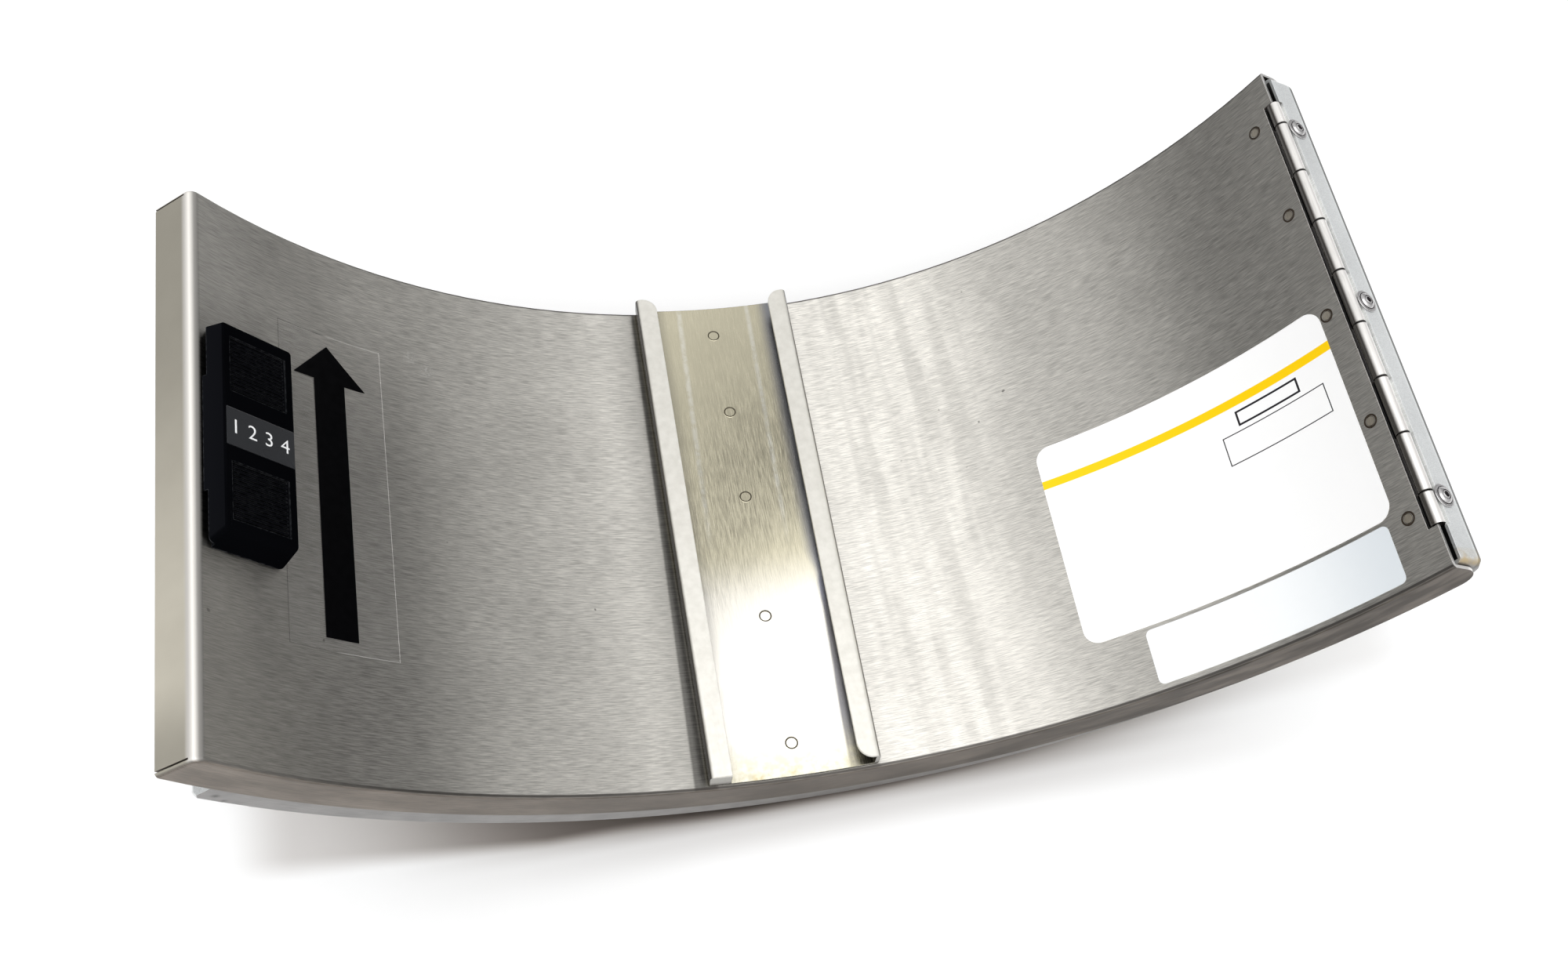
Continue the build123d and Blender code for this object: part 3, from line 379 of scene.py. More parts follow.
def cover_metal():
    """The cover's steel: a mirroring face with painted shade and painted reflections, flanges darkened partly as
    stained steel and partly by painted shade, and a latch end with a painted highlight on its fold.
    """
    made, tree, bsdf, (arc, width, height), _ = steel(
        "cover_metal", "cover", (0.66, 0.64, 0.595), 0.4, streaks=0.27, spread=0.9)
    place = vector(tree, arc, width, height)
    x, side, z = normals(tree)
    metal = feed(bsdf, "Base Color")

    # the face: painted shade and painted reflection, darker at both ends, at the near latch corner and beside the
    # channel, which it mirrors
    ends = times(tree, fade(tree, arc, -0.15, -0.1, 0.7, 1.0), fade(tree, arc, 0.1, 0.14, 1.0, 0.85))
    near = fade(tree, width, 10 * MM, 60 * MM, 1.0, 0.0)
    dusk = scaled(tree, near, fade(tree, arc, -0.108, -0.078, -0.4, 0.0), 1.0)
    dusk = times(tree, dusk, fade(tree, arc, -0.15, -0.1, 0.85, 1.0))
    beside = most(tree, fade(tree, arc, -46 * MM, -34 * MM, 1.0, 0.66),
                  fade(tree, arc, 9.2 * MM, 10.6 * MM, 0.5, 1.0))
    mirrored = minus(tree, arc, scaled(tree, width, 0.0165, -35 * MM))
    mirrored = times(tree, fade(tree, mirrored, -0.5 * MM, 0.3 * MM),
                     fade(tree, arc, -31 * MM, -30 * MM, 1.0, 0.0))
    beside = times(tree, beside, scaled(tree, mirrored, -0.6, 1.0))
    flat = tint(tree, tint(tree, metal, times(tree, ends, dusk)), beside)

    # uneven bands to the right of the channel, two scuffs and a few pits
    slant = scaled(tree, arc, 0.25, times(tree, width, 0.1))
    ripple = fade(tree, noise(tree, vector(tree, arc, slant, 0.0), 190.0), 0.35, 0.65, -0.09, 0.09)
    ripple = times(tree, ripple, within(tree, arc, 0.014, 0.056, 0.012))
    flat = tint(tree, flat, plus(tree, ripple, 1.0))
    scuffs = most(tree, spot(tree, arc, width, (-97.0, 46.4), 1.6, 1.2),
                  spot(tree, arc, width, (-92.8, 43.4), 1.7, 1.2))
    scuff = noise(tree, place, 1500.0, 4.0, 0.7)
    flat = mix(tree, times(tree, scuffs, fade(tree, scuff, 0.48, 0.6, 0.0, 0.5)), flat, (0.95, 0.94, 0.9))
    pits = noise(tree, place, 260.0, 1.0)
    flat = mix(tree, fade(tree, pits, 0.79, 0.82, 0.0, 0.7), flat, (0.09, 0.085, 0.08))

    # the flanges, smeared and blotched, darkened partly as stained steel and partly by painted shade, with a crease
    # of painted shade along the bend
    flange_stain_and_shade = fade(tree, unsigned(tree, side), 0.35, 0.95)
    smears = noise(tree, vector(tree, times(tree, arc, 0.35), width, height), 130.0, 4.0, 0.6)
    smears = times(tree, fade(tree, smears, 0.3, 0.7, 0.82, 1.12), fade(tree, arc, -0.11, -0.03, 1.0, 0.74))
    blotch = noise(tree, vector(tree, times(tree, arc, 0.22), width, height), 210.0, 3.0, 0.6)
    blotch = times(tree, fade(tree, blotch, 0.38, 0.62, -0.42, 0.1), fade(tree, arc, -0.01, 0.08))
    smears = times(tree, smears, plus(tree, blotch, 1.0))
    shade = mix(tree, flange_stain_and_shade, flat, tint(tree, tint(tree, metal, (0.32, 0.29, 0.27)), smears))
    crease_shade = within(tree, unsigned(tree, side), 0.16, 0.72, 0.12)
    crease_shade = times(tree, crease_shade, fade(tree, arc, -0.154, -0.1, 0.25, 0.88))
    shade = mix(tree, crease_shade, shade, (0.055, 0.049, 0.045))

    # the cut edge at the hinge end catches the light: a painted highlight
    tangent = scaled(tree, x, 0.573, times(tree, z, 0.819))
    cut = times(tree, fade(tree, arc, 0.148, 0.15), fade(tree, tangent, 0.8, 0.93))
    shade = mix(tree, cut, shade, (1.0, 0.99, 0.97))

    # the latch end: a painted highlight along the fold, with painted shade towards its top, and a warm plate below
    # it whose painted light is brightest a little in from its near end
    fold = fade(tree, arc, -154.6 * MM, -153.6 * MM, 1.0, 0.0)
    down = fade(tree, height, -3.4 * MM, -2.0 * MM, 1.0, 0.0)
    warm = mix(tree, noise(tree, place, 90.0, 3.0), (0.46, 0.43, 0.36), (0.54, 0.51, 0.43))
    lower = calc(tree, "MINIMUM", fade(tree, width, -38 * MM, 38 * MM, 1.72, 1.0),
                 fade(tree, width, -68 * MM, -50 * MM, 1.1, 1.72))
    plate = mix(tree, down, (0.9, 0.87, 0.82), tint(tree, warm, lower))
    plate = tint(tree, plate, fade(tree, height, -1.2 * MM, -0.2 * MM, 1.0, 0.4))
    plain = times(tree, fold, minus(tree, 1.0, flange_stain_and_shade))
    link(tree, mix(tree, plain, shade, plate), bsdf, "Base Color")
    link(tree, minus(tree, 1.0, times(tree, plain, 0.45)), bsdf, "Metallic")
    return made


def wear_line(tree, arc, width, start, lean, half):
    """A rubbed line along the channel's floor, fading out towards the near end."""
    middle = scaled(tree, width, lean, (start - 70 * lean) * MM)
    off = unsigned(tree, minus(tree, arc, middle))
    return times(tree, fade(tree, off, 0.1 * MM, half * MM, 1.0, 0.0), fade(tree, width, -9 * MM, 12 * MM))


def channel_metal():
    """The channel's steel: a yellowed, worn floor with painted shade and a painted glare, walls darkened by painted
    shade, and rubbed lips.
    """
    made, tree, bsdf, (arc, width, height), base = steel(
        "channel_metal", "cover", (0.74, 0.69, 0.52), 0.21, lengthwise=False, streaks=0.09, spread=0.75, relief=0.1)
    broken = noise(tree, vector(tree, arc, width, height), 500.0, 3.0)
    side = normals(tree)[1]
    lines = plus(tree, wear_line(tree, arc, width, -20.6, 0.0286, 1.1),
                 wear_line(tree, arc, width, -1.2, 0.012, 1.0))
    lines = times(tree, lines, fade(tree, broken, 0.3, 0.6, 0.25, 0.75))
    floor = mix(tree, lines, base, (0.95, 0.93, 0.82))

    # painted shade beside both walls: sharp and dark on the right at the near end, broad further away
    start = plus(tree, fade(tree, width, -17 * MM, -8 * MM, 3.1 * MM, 0.6 * MM),
                 fade(tree, width, -60 * MM, -25 * MM, -1.0 * MM, 0.0))
    bend = calc(tree, "DIVIDE", minus(tree, arc, start), fade(tree, width, -20 * MM, -8 * MM, 1.0 * MM, 4.2 * MM))
    shaded = mix(tree, fade(tree, width, -30 * MM, -10 * MM), (0.1, 0.095, 0.09), (0.27, 0.28, 0.32))
    floor = mix(tree, fade(tree, bend, 0.0, 1.0, 0.0, 0.9), floor, shaded)
    floor = mix(tree, fade(tree, arc, -27.5 * MM, -23.5 * MM, 0.5, 0.0), floor, (0.25, 0.24, 0.2))

    # the near end: two brown stains, a whiter glare that is a painted reflection, and worn metal by the edge
    stain = most(tree, spot(tree, arc, width, (-11.9, -68.3), 1.0, 0.8),
                 spot(tree, arc, width, (-20.5, -69.0), 1.2, 1.0))
    floor = mix(tree, times(tree, stain, fade(tree, broken, 0.35, 0.65, 0.3, 0.9)), floor, (0.5, 0.33, 0.08))
    glare = fade(tree, width, -24 * MM, -6 * MM, 0.85, 0.0)
    floor = mix(tree, glare, floor, tint(tree, floor, (1.25, 1.3, 1.6)))
    worn = fade(tree, width, -70 * MM, -54 * MM, 0.8, 0.0)
    floor = mix(tree, times(tree, worn, fade(tree, broken, 0.3, 0.7, 0.55, 1.0)), floor, (0.42, 0.39, 0.27))

    # painted shade: the walls above the floor are near-black, and faces turned along the width a lighter grey
    walls = mix(tree, fade(tree, height, 1.3 * MM, 2.0 * MM), floor, (0.07, 0.065, 0.06))
    walls = mix(tree, fade(tree, unsigned(tree, side), 0.6, 0.9), walls, (0.4, 0.39, 0.36))
    lip = fade(tree, height, 5.6 * MM, 6.3 * MM)
    rubbed = mix(tree, fade(tree, broken, 0.2, 0.8), (0.74, 0.72, 0.66), (0.84, 0.82, 0.76))
    link(tree, mix(tree, lip, walls, rubbed), bsdf, "Base Color")
    link(tree, minus(tree, 1.0, times(tree, lip, 0.5)), bsdf, "Metallic")
    link(tree, scaled(tree, lip, 0.15, feed(bsdf, "Roughness")), bsdf, "Roughness")
    return made


def tray_metal():
    """The tray's steel: sides darkened by painted shade, a dark edge at the hinge end, two nicks and a little old
    glue.
    """
    made, tree, bsdf, (arc, width, height), _ = steel("tray_metal", "tray", (0.84, 0.86, 0.86), 0.4, relief=0.15)
    side = normals(tree)[1]
    cloud = noise(tree, vector(tree, arc, width, height), 160.0, 4.0)
    # painted shade: faces turned along the width are a mottled dark grey
    side_shade = mix(tree, fade(tree, cloud, 0.3, 0.7), (0.23, 0.225, 0.22), (0.28, 0.272, 0.266))
    shade = mix(tree, fade(tree, unsigned(tree, side), 0.3, 0.9), feed(bsdf, "Base Color"), side_shade)
    edge = times(tree, fade(tree, height, -8.9 * MM, -8.5 * MM, 1.0, 0.0), fade(tree, arc, 0.154, 0.156))
    shade = mix(tree, edge, shade, (0.09, 0.09, 0.09))
    nicks = most(tree, spot(tree, arc, height, (-151.2, -8.9), 0.5, 0.9),
                 spot(tree, arc, height, (-148.2, -10.6), 0.3, 1.0))
    nicks = times(tree, nicks, fade(tree, width, -0.06, -0.05, 0.9, 0.0))
    shade = mix(tree, nicks, shade, (0.03, 0.027, 0.025))
    glue = times(tree, fade(tree, width, -66.2 * MM, -65.4 * MM, 1.0, 0.0), fade(tree, cloud, 0.4, 0.6, 0.1, 0.8))
    glue = times(tree, glue, fade(tree, arc, 155 * MM, 157 * MM))
    link(tree, mix(tree, glue, shade, (0.62, 0.45, 0.18)), bsdf, "Base Color")
    bsdf.inputs["Metallic"].default_value = 0.55
    return made


def hinge_metal():
    """The hinge's leaves: bright knuckles with painted shade on their undersides, dark joints and ends, and a strip
    of painted shade on one leaf.
    """
    made, tree, bsdf, (arc, width, height), _ = steel(
        "hinge_metal", "cover", (0.93, 0.91, 0.88), 0.2, lengthwise=False, streaks=0.05, spread=0.3, relief=0.04)
    x, side, z = normals(tree)
    shade = feed(bsdf, "Base Color")
    # painted shade on faces turned away from the light: grey, then near-black
    away = scaled(tree, x, -0.55, times(tree, z, -0.83))
    shade = mix(tree, fade(tree, away, -0.62, -0.12, 0.0, 0.85), shade, (0.2, 0.18, 0.16))
    shade = mix(tree, fade(tree, away, -0.3, 0.0, 0.0, 0.9), shade, (0.03, 0.026, 0.022))
    # painted shade: the leaf below the cover's face, short of the pin, is near-black
    strip = times(tree, fade(tree, height, -0.75 * MM, -0.55 * MM, 1.0, 0.0),
                  fade(tree, arc, 153.7 * MM, 154.0 * MM, 1.0, 0.0))
    shade = mix(tree, strip, shade, (0.012, 0.011, 0.01))
    turns = calc(tree, "DIVIDE", minus(tree, width, KNUCKLE_START), KNUCKLE_PITCH)
    joint = unsigned(tree, minus(tree, turns, calc(tree, "ROUND", turns)))
    shade = mix(tree, fade(tree, joint, 0.014, 0.03, 0.9, 0.0), shade, (0.05, 0.045, 0.04))
    ends = fade(tree, unsigned(tree, side), 0.5, 0.9)
    link(tree, mix(tree, ends, shade, (0.02, 0.018, 0.017)), bsdf, "Base Color")
    bsdf.inputs["Metallic"].default_value = 0.45
    return made


def rivet_metal():
    made, _, bsdf, _, _ = steel(
        "rivet_metal", "tray", (0.6, 0.59, 0.59), 0.26, lengthwise=False, streaks=0.04, spread=0.0, relief=0.04)
    bsdf.inputs["Metallic"].default_value = 0.85
    return made


def dark_metal(name, colour):
    made, tree, bsdf = new_material(name)
    place = tree.nodes.new("ShaderNodeTexCoord").outputs["Object"]
    speck = noise(tree, place, 900.0, 3.0)
    link(tree, mix(tree, speck, tuple(0.6 * c for c in colour), tuple(1.4 * c for c in colour)), bsdf, "Base Color")
    link(tree, fade(tree, speck, 0.3, 0.7, 0.45, 0.6), bsdf, "Roughness")
    bsdf.inputs["Metallic"].default_value = 0.5
    return made


def plastic(name, colour, light, roughness, gloss=0.5):
    """Moulded plastic with a fine texture and paler, rubbed edges."""
    made, tree, bsdf = new_material(name)
    place = vector(tree, *places(tree, "cover"))
    speck = noise(tree, place, 900.0, 3.0)
    cloud = noise(tree, place, 60.0)
    rounded, wear = edge_wear(tree, 0.35 * MM)
    body = mix(tree, cloud, colour, tuple(1.5 * c for c in colour))
    link(tree, mix(tree, times(tree, wear, speck), body, light), bsdf, "Base Color")
    link(tree, fade(tree, cloud, 0.3, 0.7, roughness - 0.05, roughness + 0.07), bsdf, "Roughness")
    bsdf.inputs["Specular IOR Level"].default_value = gloss
    normal = bump(tree, speck, 0.15, BUMP)
    tree.links.new(rounded, normal.node.inputs["Normal"])
    link(tree, normal, bsdf, "Normal")
    return made


def soft_layer(name, colour, other, scale, depth, roughness, sheen=0.0):
    """Foam, felt or a screen's coating: a mottled matt surface."""
    made, tree, bsdf = new_material(name)
    place = tree.nodes.new("ShaderNodeTexCoord").outputs["Object"]
    speck = noise(tree, place, scale, 4.0, 0.65)
    link(tree, mix(tree, fade(tree, speck, 0.3, 0.7), colour, other), bsdf, "Base Color")
    link(tree, fade(tree, speck, 0.3, 0.7, roughness - 0.1, roughness), bsdf, "Roughness")
    link(tree, bump(tree, speck, 0.6, depth), bsdf, "Normal")
    bsdf.inputs["Sheen Weight"].default_value = sheen
    return made


def frame_line(tree, arc, width, box, line):
    """The printed outline of an empty box: arc from, arc to, width from, width to, in millimetres."""
    arc_from, arc_to, width_from, width_to = (v * MM for v in box)

    def filled(grow):
        return times(tree, within(tree, arc, arc_from - grow, arc_to + grow, PRINT_SOFT),
                     within(tree, width, width_from - grow, width_to + grow, PRINT_SOFT))

    half = line * MM / 2
    return minus(tree, filled(half), filled(-half))


def label_paper(name, stripe, boxes, colour):
    """A printed label: with a stripe and empty boxes, or plain and greyer towards its hinge end."""
    made, tree, bsdf = new_material(name)
    arc, width, height = places(tree, "cover")
    fibre = noise(tree, vector(tree, arc, width, height), 400.0, 3.0)
    shade = mix(tree, fibre, tuple(0.97 * c for c in colour), colour)
    if stripe:
        band = within(tree, width, stripe[0] * MM, stripe[1] * MM, 0.06 * MM)
        shade = mix(tree, band, shade, (0.98, 0.63, 0.0))
    else:
        shade = mix(tree, fade(tree, arc, 0.112, 0.146, 0.0, 0.8), shade, (0.68, 0.73, 0.77))
    for box, line in boxes:
        shade = mix(tree, frame_line(tree, arc, width, box, line), shade, (0.012, 0.01, 0.014))
    link(tree, shade, bsdf, "Base Color")
    link(tree, fade(tree, fibre, 0.3, 0.7, 0.31, 0.4), bsdf, "Roughness")
    link(tree, bump(tree, fibre, 0.08, BUMP), bsdf, "Normal")
    bsdf.inputs["Coat Weight"].default_value = 0.05
    bsdf.inputs["Specular IOR Level"].default_value = 0.3
    # a faint glow of painted light in the label's own colours
    link(tree, shade, bsdf, "Emission Color")
    bsdf.inputs["Emission Strength"].default_value = 0.08
    return made


def clear_film():
    """Clear film: a faint haze, with a rim of painted light and shade that is dark on the left and pale on the
    right.
    """
    made, tree, bsdf = new_material("clear_film")
    arc, width, height = places(tree, "cover")
    cloud = noise(tree, vector(tree, arc, width, height), 120.0, 3.0)
    _, wear = edge_wear(tree, 0.2 * MM)
    right = fade(tree, arc, -122 * MM, -118 * MM)
    rim = mix(tree, right, (0.03, 0.03, 0.028), (0.95, 0.93, 0.9))
    link(tree, mix(tree, wear, (0.35, 0.34, 0.33), rim), bsdf, "Base Color")
    link(tree, fade(tree, cloud, 0.3, 0.7, 0.34, 0.4), bsdf, "Roughness")
    bsdf.inputs["Specular IOR Level"].default_value = 0.2
    haze = fade(tree, cloud, 0.3, 0.7, 0.02, 0.05)
    solid = times(tree, wear, scaled(tree, right, -0.4, 0.9))
    link(tree, most(tree, haze, solid), bsdf, "Alpha")
    return made


def finish_nodes():
    assign(cover_metal(), "cover_shell")
    assign(channel_metal(), "mounting_channel")
    assign(tray_metal(), "front_tray")
    assign(hinge_metal(), "hinge_leaf_cover", "hinge_leaf_tray")
    assign(dark_metal("pin_metal", (0.09, 0.085, 0.08)), "hinge_pin")
    assign(rivet_metal(), "keeper_rivets")
    assign(steel("latch_metal", "cover", (0.6, 0.6, 0.58), 0.35, lengthwise=False)[0],
           "latch_keepers", "latch_bolt", "latch_studs")
    assign(plastic("tape_plastic", (0.011, 0.012, 0.014), (0.05, 0.05, 0.055), 0.3, 0.2), "number_tape")
    assign(plastic("guide_plastic", (0.5, 0.49, 0.45), (0.7, 0.69, 0.66), 0.4), "latch_guide")
    assign(soft_layer("screen_coating", (0.78, 0.78, 0.74), (0.84, 0.84, 0.8), 700.0, 0.02 * MM, 0.6),
           "front_screen", "rear_screen")
    assign(soft_layer("felt", (0.01, 0.01, 0.011), (0.035, 0.034, 0.034), 1600.0, 0.3 * MM, 1.0, 0.3),
           "side_light_seals", "hinge_light_seal", "latch_light_seal")
    assign(soft_layer("foam", (0.03, 0.03, 0.033), (0.08, 0.08, 0.085), 1100.0, 0.3 * MM, 0.95),
           "pressure_pad")
    assign(soft_layer("lead_sheet", (0.16, 0.165, 0.175), (0.24, 0.245, 0.26), 150.0, 0.1 * MM, 0.55),
           "lead_foil")
    assign(label_paper("main_label_print", LABEL_STRIPE, LABEL_BOXES, (0.97, 0.97, 0.97)), "main_label")
    assign(label_paper("small_label_print", None, (), (0.92, 0.94, 0.95)), "small_label")
    assign(clear_film(), "arrow_film")


# ================================================================ pieces, in millimetres
ARROW_MIDDLE, ARROW_TIP, ARROW_BARB, ARROW_END = -119.9, 41.9, 31.7, -36.3
ARROW_BARBS, ARROW_SHAFT = (-129.0, -110.1), (-123.6, -115.6)

CHANNEL_SHEET = 1.0
WELD_RING = ((0.0, 0.03), (1.05, 0.03), (1.2, 0.0), (1.3, 0.05), (1.45, 0.12), (1.62, 0.1), (1.75, -0.02))
CHANNEL_WELDS = ((-11.9, 61.2), (-11.2, 35.85), (-11.1, 9.15), (-11.6, -26.1), (-10.8, -61.1))
HINGE_WELDS = ((148.9, 56.5), (149.5, 29.8), (149.3, 0.0), (150.1, -29.9), (150.1, -55.4))

RIVET_PROFILE = (
    (0.0, -1.02), (1.3, -1.02), (1.65, -0.14), (1.3, -0.14), (1.3, 1.6), (2.9, 1.6), (3.0, 1.72), (2.95, 1.86),
    (2.75, 1.92), (2.3, 1.92), (2.16, 1.86), (2.08, 2.0), (1.9, 2.28), (1.6, 2.46), (1.25, 2.54), (1.12, 2.42),
    (1.04, 2.44), (0.94, 2.56), (0.74, 2.56), (0.6, 2.3), (0.58, 1.7), (0.0, 1.7))
# steps painted dark as shade: under the head, in two grooves and in the mandrel's hole
RIVET_DARK_STEPS = (4, 5, 9, 10, 14, 15, 18, 19, 20)

BLOCK_ARC, BLOCK_SHIFT, BLOCK_TOP, TAPE_SHEET = -142.9 * MM, 4.7 * MM, 5.6 * MM, 0.25 * MM      # in metres
BLOCK_LIFT = 0.65                                   # the block's underside above the cover
FOOT = ((-10.7, -27.5), (9.6, -27.5), (9.6, 27.5), (-10.7, 27.5)), (1.3, 2.3, 0.9, 0.7)         # corners, radii
CROWN = ((-9.0, -25.0), (9.3, -25.0), (9.3, 27.2), (-9.0, 27.2)), (1.2, 1.5, 0.9, 0.6)
PAD_SHIFT, PAD_SPACING = 0.85, 32.1                 # the pair of grips: its middle, and how far apart they are
PAD_WIDTH, PAD_LENGTH, PAD_DEPTH = 14.6, 14.2, 0.35
RIB_PITCH, RIB_COUNT, GROOVE_WIDTH = 0.95, 15, 0.42
RECESS, RECESS_TOP = (15.2, 52.0), 1.3
NOTCH_EDGE, NOTCH_SPACING, NOTCH_SIZE = -10.7, 42.0, (3.4, 13.0, 1.9)


def piece(name, bm, made, body, smooth=False):
    mesh = bpy.data.meshes.new(name)
    bm.normal_update()
    bm.to_mesh(mesh)
    bm.free()
    for face in mesh.polygons:
        face.use_smooth = smooth
    mesh.materials.append(made)
    ob = bpy.data.objects.new(name, mesh)
    scene.collection.objects.link(ob)
    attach(ob, body)
    return ob


def sheet_shape(bm, outline, height, thick, step=1.5):
    """A thin flat shape laid on the cover: outline points are (arc, width) in millimetres."""
    below = [bm.verts.new((a, w, 0)) for a, w in outline]
    bm.faces.new(below)
    span = [a for a, w in outline]
    cut = min(span) + step
    while cut < max(span):
        everything = bm.verts[:] + bm.edges[:] + bm.faces[:]
        bmesh.ops.bisect_plane(bm, geom=everything, plane_co=(cut, 0, 0), plane_no=(1, 0, 0))
        cut += step
    raised = bmesh.ops.extrude_face_region(bm, geom=bm.faces[:])["geom"]
    for v in (v for v in raised if isinstance(v, bmesh.types.BMVert)):
        v.co.z = thick
    for v in bm.verts:
        v.co = on_curve("cover", v.co.x * MM, v.co.y * MM, (height + v.co.z) * MM)
    bmesh.ops.recalc_face_normals(bm, faces=bm.faces[:])


def arrow():
    """The printed arrow under the film: it points to the far side."""
    left, right = ARROW_SHAFT
    outline = [(ARROW_MIDDLE, ARROW_TIP), (ARROW_BARBS[0], ARROW_BARB), (left, ARROW_BARB), (left, ARROW_END),
               (right, ARROW_END), (right, ARROW_BARB), (ARROW_BARBS[1], ARROW_BARB)]
    bm = bmesh.new()
    sheet_shape(bm, outline, 0.115, 0.02)
    made, tree, bsdf = new_material("arrow_ink")
    speck = noise(tree, vector(tree, *places(tree, "cover")), 500.0, 3.0)
    link(tree, mix(tree, speck, (0.0004, 0.0004, 0.0006), (0.001, 0.001, 0.0015)), bsdf, "Base Color")
    link(tree, fade(tree, speck, 0.3, 0.7, 0.3, 0.4), bsdf, "Roughness")
    bsdf.inputs["Specular IOR Level"].default_value = 0.03
    piece("arrow_print", bm, made, "cover")


def turned(bm, place, profile, count=48, paint=()):
    """A turned shape round Z: profile is (radius, height) in millimetres, paint gives steps that are dark."""
    rings = []
    for r, h in profile:
        spots = count if r > 0 else 1
        rings.append([bm.verts.new(place @ Vector((r * MM * math.cos(math.tau * i / count),
                                                   r * MM * math.sin(math.tau * i / count), h * MM)))
                      for i in range(spots)])
    for step, (a, b) in enumerate(zip(rings[:-1], rings[1:])):
        for i in range(count):
            j = (i + 1) % count
            corners = [a[i % len(a)], b[i % len(b)], b[j % len(b)], a[j % len(a)]]
            face = bm.faces.new(list(dict.fromkeys(corners)))
            face.material_index = 1 if step in paint else 0


def welds(name, spots, height, made, paint, line):
    """Spot welds: a raised ring with a darker line round a flat middle."""
    bm = bmesh.new()
    for arc, width in spots:
        turned(bm, seat("cover", arc * MM, width * MM, height), WELD_RING, paint=paint)
    ring = piece(name, bm, made, "cover", True)
    ring.data.materials.append(line)


def rivets():
    """Blind rivets through the hinge end wall: rim, dome, and the mandrel's hole with a turned edge."""
    bm = bmesh.new()
    for width in (-52.8, -0.2, 52.4):
        lean = Matrix.Rotation(-PIN_ARC / RADIUS, 4, "Y")
        place = Matrix.Translation(pin) @ lean @ Matrix.Translation((0, width * MM, -3.6 * MM))
        turned(bm, place @ Matrix.Rotation(math.radians(90), 4, "Y"), RIVET_PROFILE, 40, paint=RIVET_DARK_STEPS)
    made = piece("rivet_bodies", bm, rivet_metal(), "tray", True)
    made.data.materials.append(dark_metal("rivet_dark", (0.03, 0.025, 0.028)))
    made.data.set_sharp_from_angle(angle=math.radians(50))
    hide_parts("hinge_rivets")


def block_ring(corners, radii, steps=10):
    """The outline of the block: points and outward directions round four rounded corners."""
    points = []
    for k, ((x, y), radius) in enumerate(zip(corners, radii)):
        sx, sy = (-1, 1, 1, -1)[k], (-1, -1, 1, 1)[k]
        start = (180, 270, 0, 90)[k]
        for i in range(steps + 1):
            turn = math.radians(start + 90 * i / steps)
            out = Vector((math.cos(turn), math.sin(turn)))
            points.append((Vector((x - sx * radius, y - sy * radius)) + radius * out, out))
    return points


def box_cut(bm, middle, size):
    bmesh.ops.create_cube(bm, size=1.0, matrix=Matrix.Translation(middle) @ Matrix.Diagonal((*size, 1)))


def carve(source, cutters):
    """Cuts shapes out of a mesh with Boolean modifiers and returns the result."""
    scene.collection.objects.link(source)
    helpers = []
    for i, bm in enumerate(cutters):
        mesh = bpy.data.meshes.new(f"cutter_{i}")
        bm.to_mesh(mesh)
        bm.free()
        helper = bpy.data.objects.new(f"cutter_{i}", mesh)
        scene.collection.objects.link(helper)
        helpers.append(helper)
        cut = source.modifiers.new("cut", "BOOLEAN")
        cut.operation, cut.solver, cut.object = "DIFFERENCE", "EXACT", helper
    bpy.context.view_layer.update()
    result = bpy.data.meshes.new_from_object(source.evaluated_get(bpy.context.evaluated_depsgraph_get()))
    for extra in [source, *helpers]:
        bpy.data.objects.remove(extra)
    return result


def block_body():
    """The block before it is cut: drafted sides and a rounded top edge, roundest at the near end."""
    top = BLOCK_TOP / MM
    bm = bmesh.new()
    rings = []
    for turn in (None, 0, 15, 30, 45, 60, 75, 90):      # the foot, then steps round the top edge
        ring = []
        for (a, out), (b, _) in zip(block_ring(*FOOT), block_ring(*CROWN)):
            edge = 0.4 + 1.0 * max(0.0, -out.y) ** 2 if turn is not None else 0
            angle = math.radians(turn or 0)
            z = BLOCK_LIFT if turn is None else top - edge * (1 - math.sin(angle))
            lean = (z - BLOCK_LIFT) / (top - BLOCK_LIFT)
            at = a.lerp(b, lean) - out * edge * (1 - math.cos(angle))
            ring.append(bm.verts.new((at.x, at.y, z)))
        rings.append(ring)
    count = len(rings[0])
    for a, b in zip(rings[:-1], rings[1:]):
        for i in range(count):
            bm.faces.new((a[i], a[(i + 1) % count], b[(i + 1) % count], b[i]))
    bm.faces.new(rings[-1])
    bm.faces.new(rings[0][::-1])
    mesh = bpy.data.meshes.new("block")
    bmesh.ops.recalc_face_normals(bm, faces=bm.faces[:])
    bm.to_mesh(mesh)
    bm.free()
    return mesh


def block_cutters():
    """The two grips' pockets, the grooves between their ribs, and the hollows underneath."""
    top = BLOCK_TOP / MM
    pockets, grooves, under = bmesh.new(), bmesh.new(), bmesh.new()
    for side in (-0.5, 0.5):
        y = PAD_SHIFT + side * PAD_SPACING
        box_cut(pockets, (0, y, top), (PAD_WIDTH, PAD_LENGTH, 2 * PAD_DEPTH))
        for i in range(RIB_COUNT):
            rib = y + (i - (RIB_COUNT - 1) / 2) * RIB_PITCH
            box_cut(grooves, (0, rib, top - 0.5), (PAD_WIDTH - 0.9, GROOVE_WIDTH, 0.6))
        box_cut(under, (NOTCH_EDGE, side * NOTCH_SPACING, BLOCK_LIFT), NOTCH_SIZE)
    box_cut(under, (0, 0, 0), (RECESS[0], RECESS[1], 2 * RECESS_TOP))
    return pockets, grooves, under


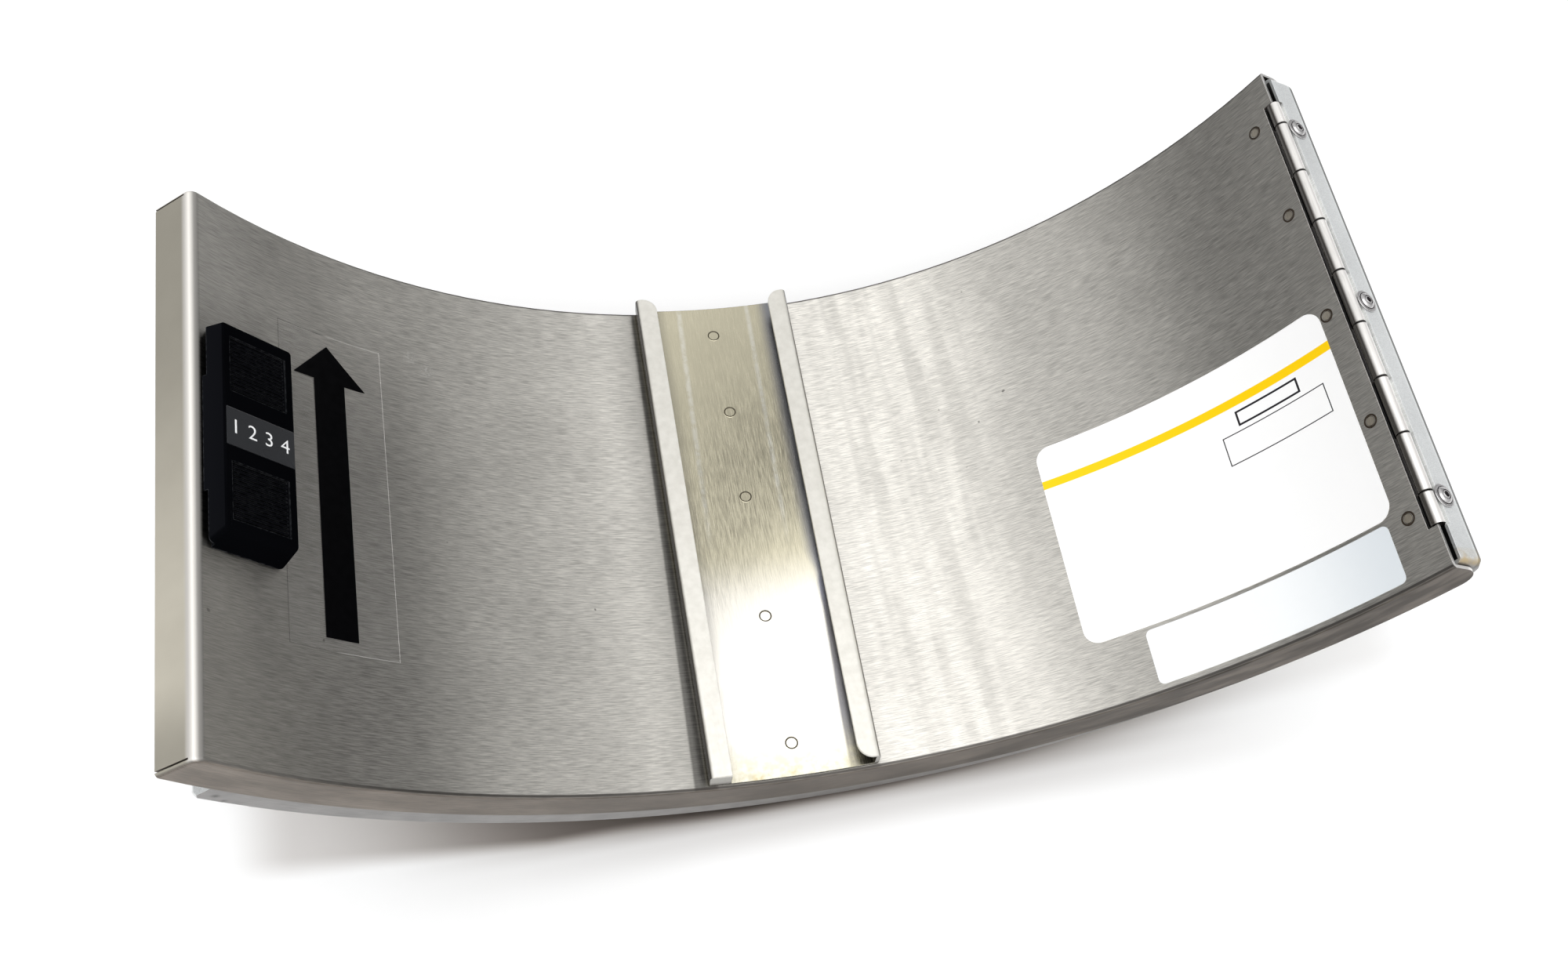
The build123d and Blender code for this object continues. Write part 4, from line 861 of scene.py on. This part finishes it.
def block_plastic():
    """Black plastic, a little paler on its left side from painted light, and paler on its edges, partly as rubbed
    wear and partly as a painted highlight.
    """
    made, tree, bsdf = new_material("block_plastic")
    place = vector(tree, *places(tree, "cover"))
    speck = noise(tree, place, 900.0, 3.0)
    cloud = noise(tree, place, 60.0)
    body = mix(tree, cloud, (0.0012, 0.0013, 0.0018), (0.0024, 0.0026, 0.0034))
    # painted light: faces turned to the left are a little paler
    body = mix(tree, fade(tree, normals(tree)[0], -0.4, 0.1, 1.0, 0.0), body, (0.0066, 0.007, 0.0088))
    _, wear = edge_wear(tree, 0.3 * MM)
    # edges: partly rubbed wear, partly a painted highlight
    chips_and_glint = times(tree, wear, fade(tree, speck, 0.4, 0.62, 0.1, 0.8))
    link(tree, mix(tree, chips_and_glint, body, (0.05, 0.052, 0.056)), bsdf, "Base Color")
    link(tree, fade(tree, cloud, 0.3, 0.7, 0.36, 0.46), bsdf, "Roughness")
    bsdf.inputs["Specular IOR Level"].default_value = 0.0
    link(tree, bump(tree, speck, 0.1, BUMP), bsdf, "Normal")
    return made


def latch_block():
    """The sliding latch: the block with two framed, ribbed grips."""
    top = BLOCK_TOP / MM
    bm = bmesh.new()
    bm.from_mesh(carve(bpy.data.objects.new("block", block_body()), block_cutters()))
    for face in bm.faces:
        rib = abs(face.calc_center_median().z - top + PAD_DEPTH) < 0.03 and face.normal.z > 0.9
        face.material_index = 1 if rib else 0
    bmesh.ops.scale(bm, vec=(MM, MM, MM), verts=bm.verts)
    bmesh.ops.transform(bm, matrix=seat("cover", BLOCK_ARC, BLOCK_SHIFT), verts=bm.verts)
    block = piece("block_body", bm, block_plastic(), "latch", True)
    block.data.materials.append(plastic("rib_plastic", (0.0016, 0.0017, 0.0024), (0.022, 0.022, 0.024), 0.42, 0.0))
    block.data.set_sharp_from_angle(angle=math.radians(40))
    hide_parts("latch_block")


def tape_digits():
    """Plain counting numbers, embossed on the tape."""
    curve = bpy.data.curves.new("digits", "FONT")
    curve.body = "1 2 3 4"
    curve.size, curve.extrude, curve.bevel_depth = 5.1 * MM, 0.05 * MM, 0.04 * MM
    curve.offset, curve.space_character = -0.07 * MM, 1.06
    curve.align_x, curve.align_y = "CENTER", "CENTER"
    curve.resolution_u = 4
    source = bpy.data.objects.new("digits", curve)
    mesh = bpy.data.meshes.new_from_object(source)
    bm = bmesh.new()
    bm.from_mesh(mesh)
    place = seat("cover", BLOCK_ARC, 0.0) @ Matrix.Translation((0, BLOCK_SHIFT + 0.45 * MM, BLOCK_TOP + TAPE_SHEET))
    bmesh.ops.transform(bm, matrix=place, verts=bm.verts)
    bpy.data.objects.remove(source)
    piece("tape_digits", bm, plastic("digit_white", (0.75, 0.76, 0.77), (0.95, 0.95, 0.95), 0.3), "latch")


scene.view_settings.view_transform = "Standard"
camera()
daylight()
studio_floor()
finish_nodes()
arrow()
welds("channel_welds", CHANNEL_WELDS, CHANNEL_SHEET * MM, bpy.data.materials["channel_metal"],
      (1, 2, 3, 4), dark_metal("weld_line", (0.06, 0.05, 0.03)))
welds("hinge_welds", HINGE_WELDS, 0.0,
      steel("weld_steel", "cover", (0.34, 0.31, 0.26), 0.4, lengthwise=False, streaks=0.1, blotches=0.3)[0],
      (1, 2, 3, 4, 5), dark_metal("weld_stain", (0.035, 0.024, 0.014)))
rivets()
latch_block()
tape_digits()
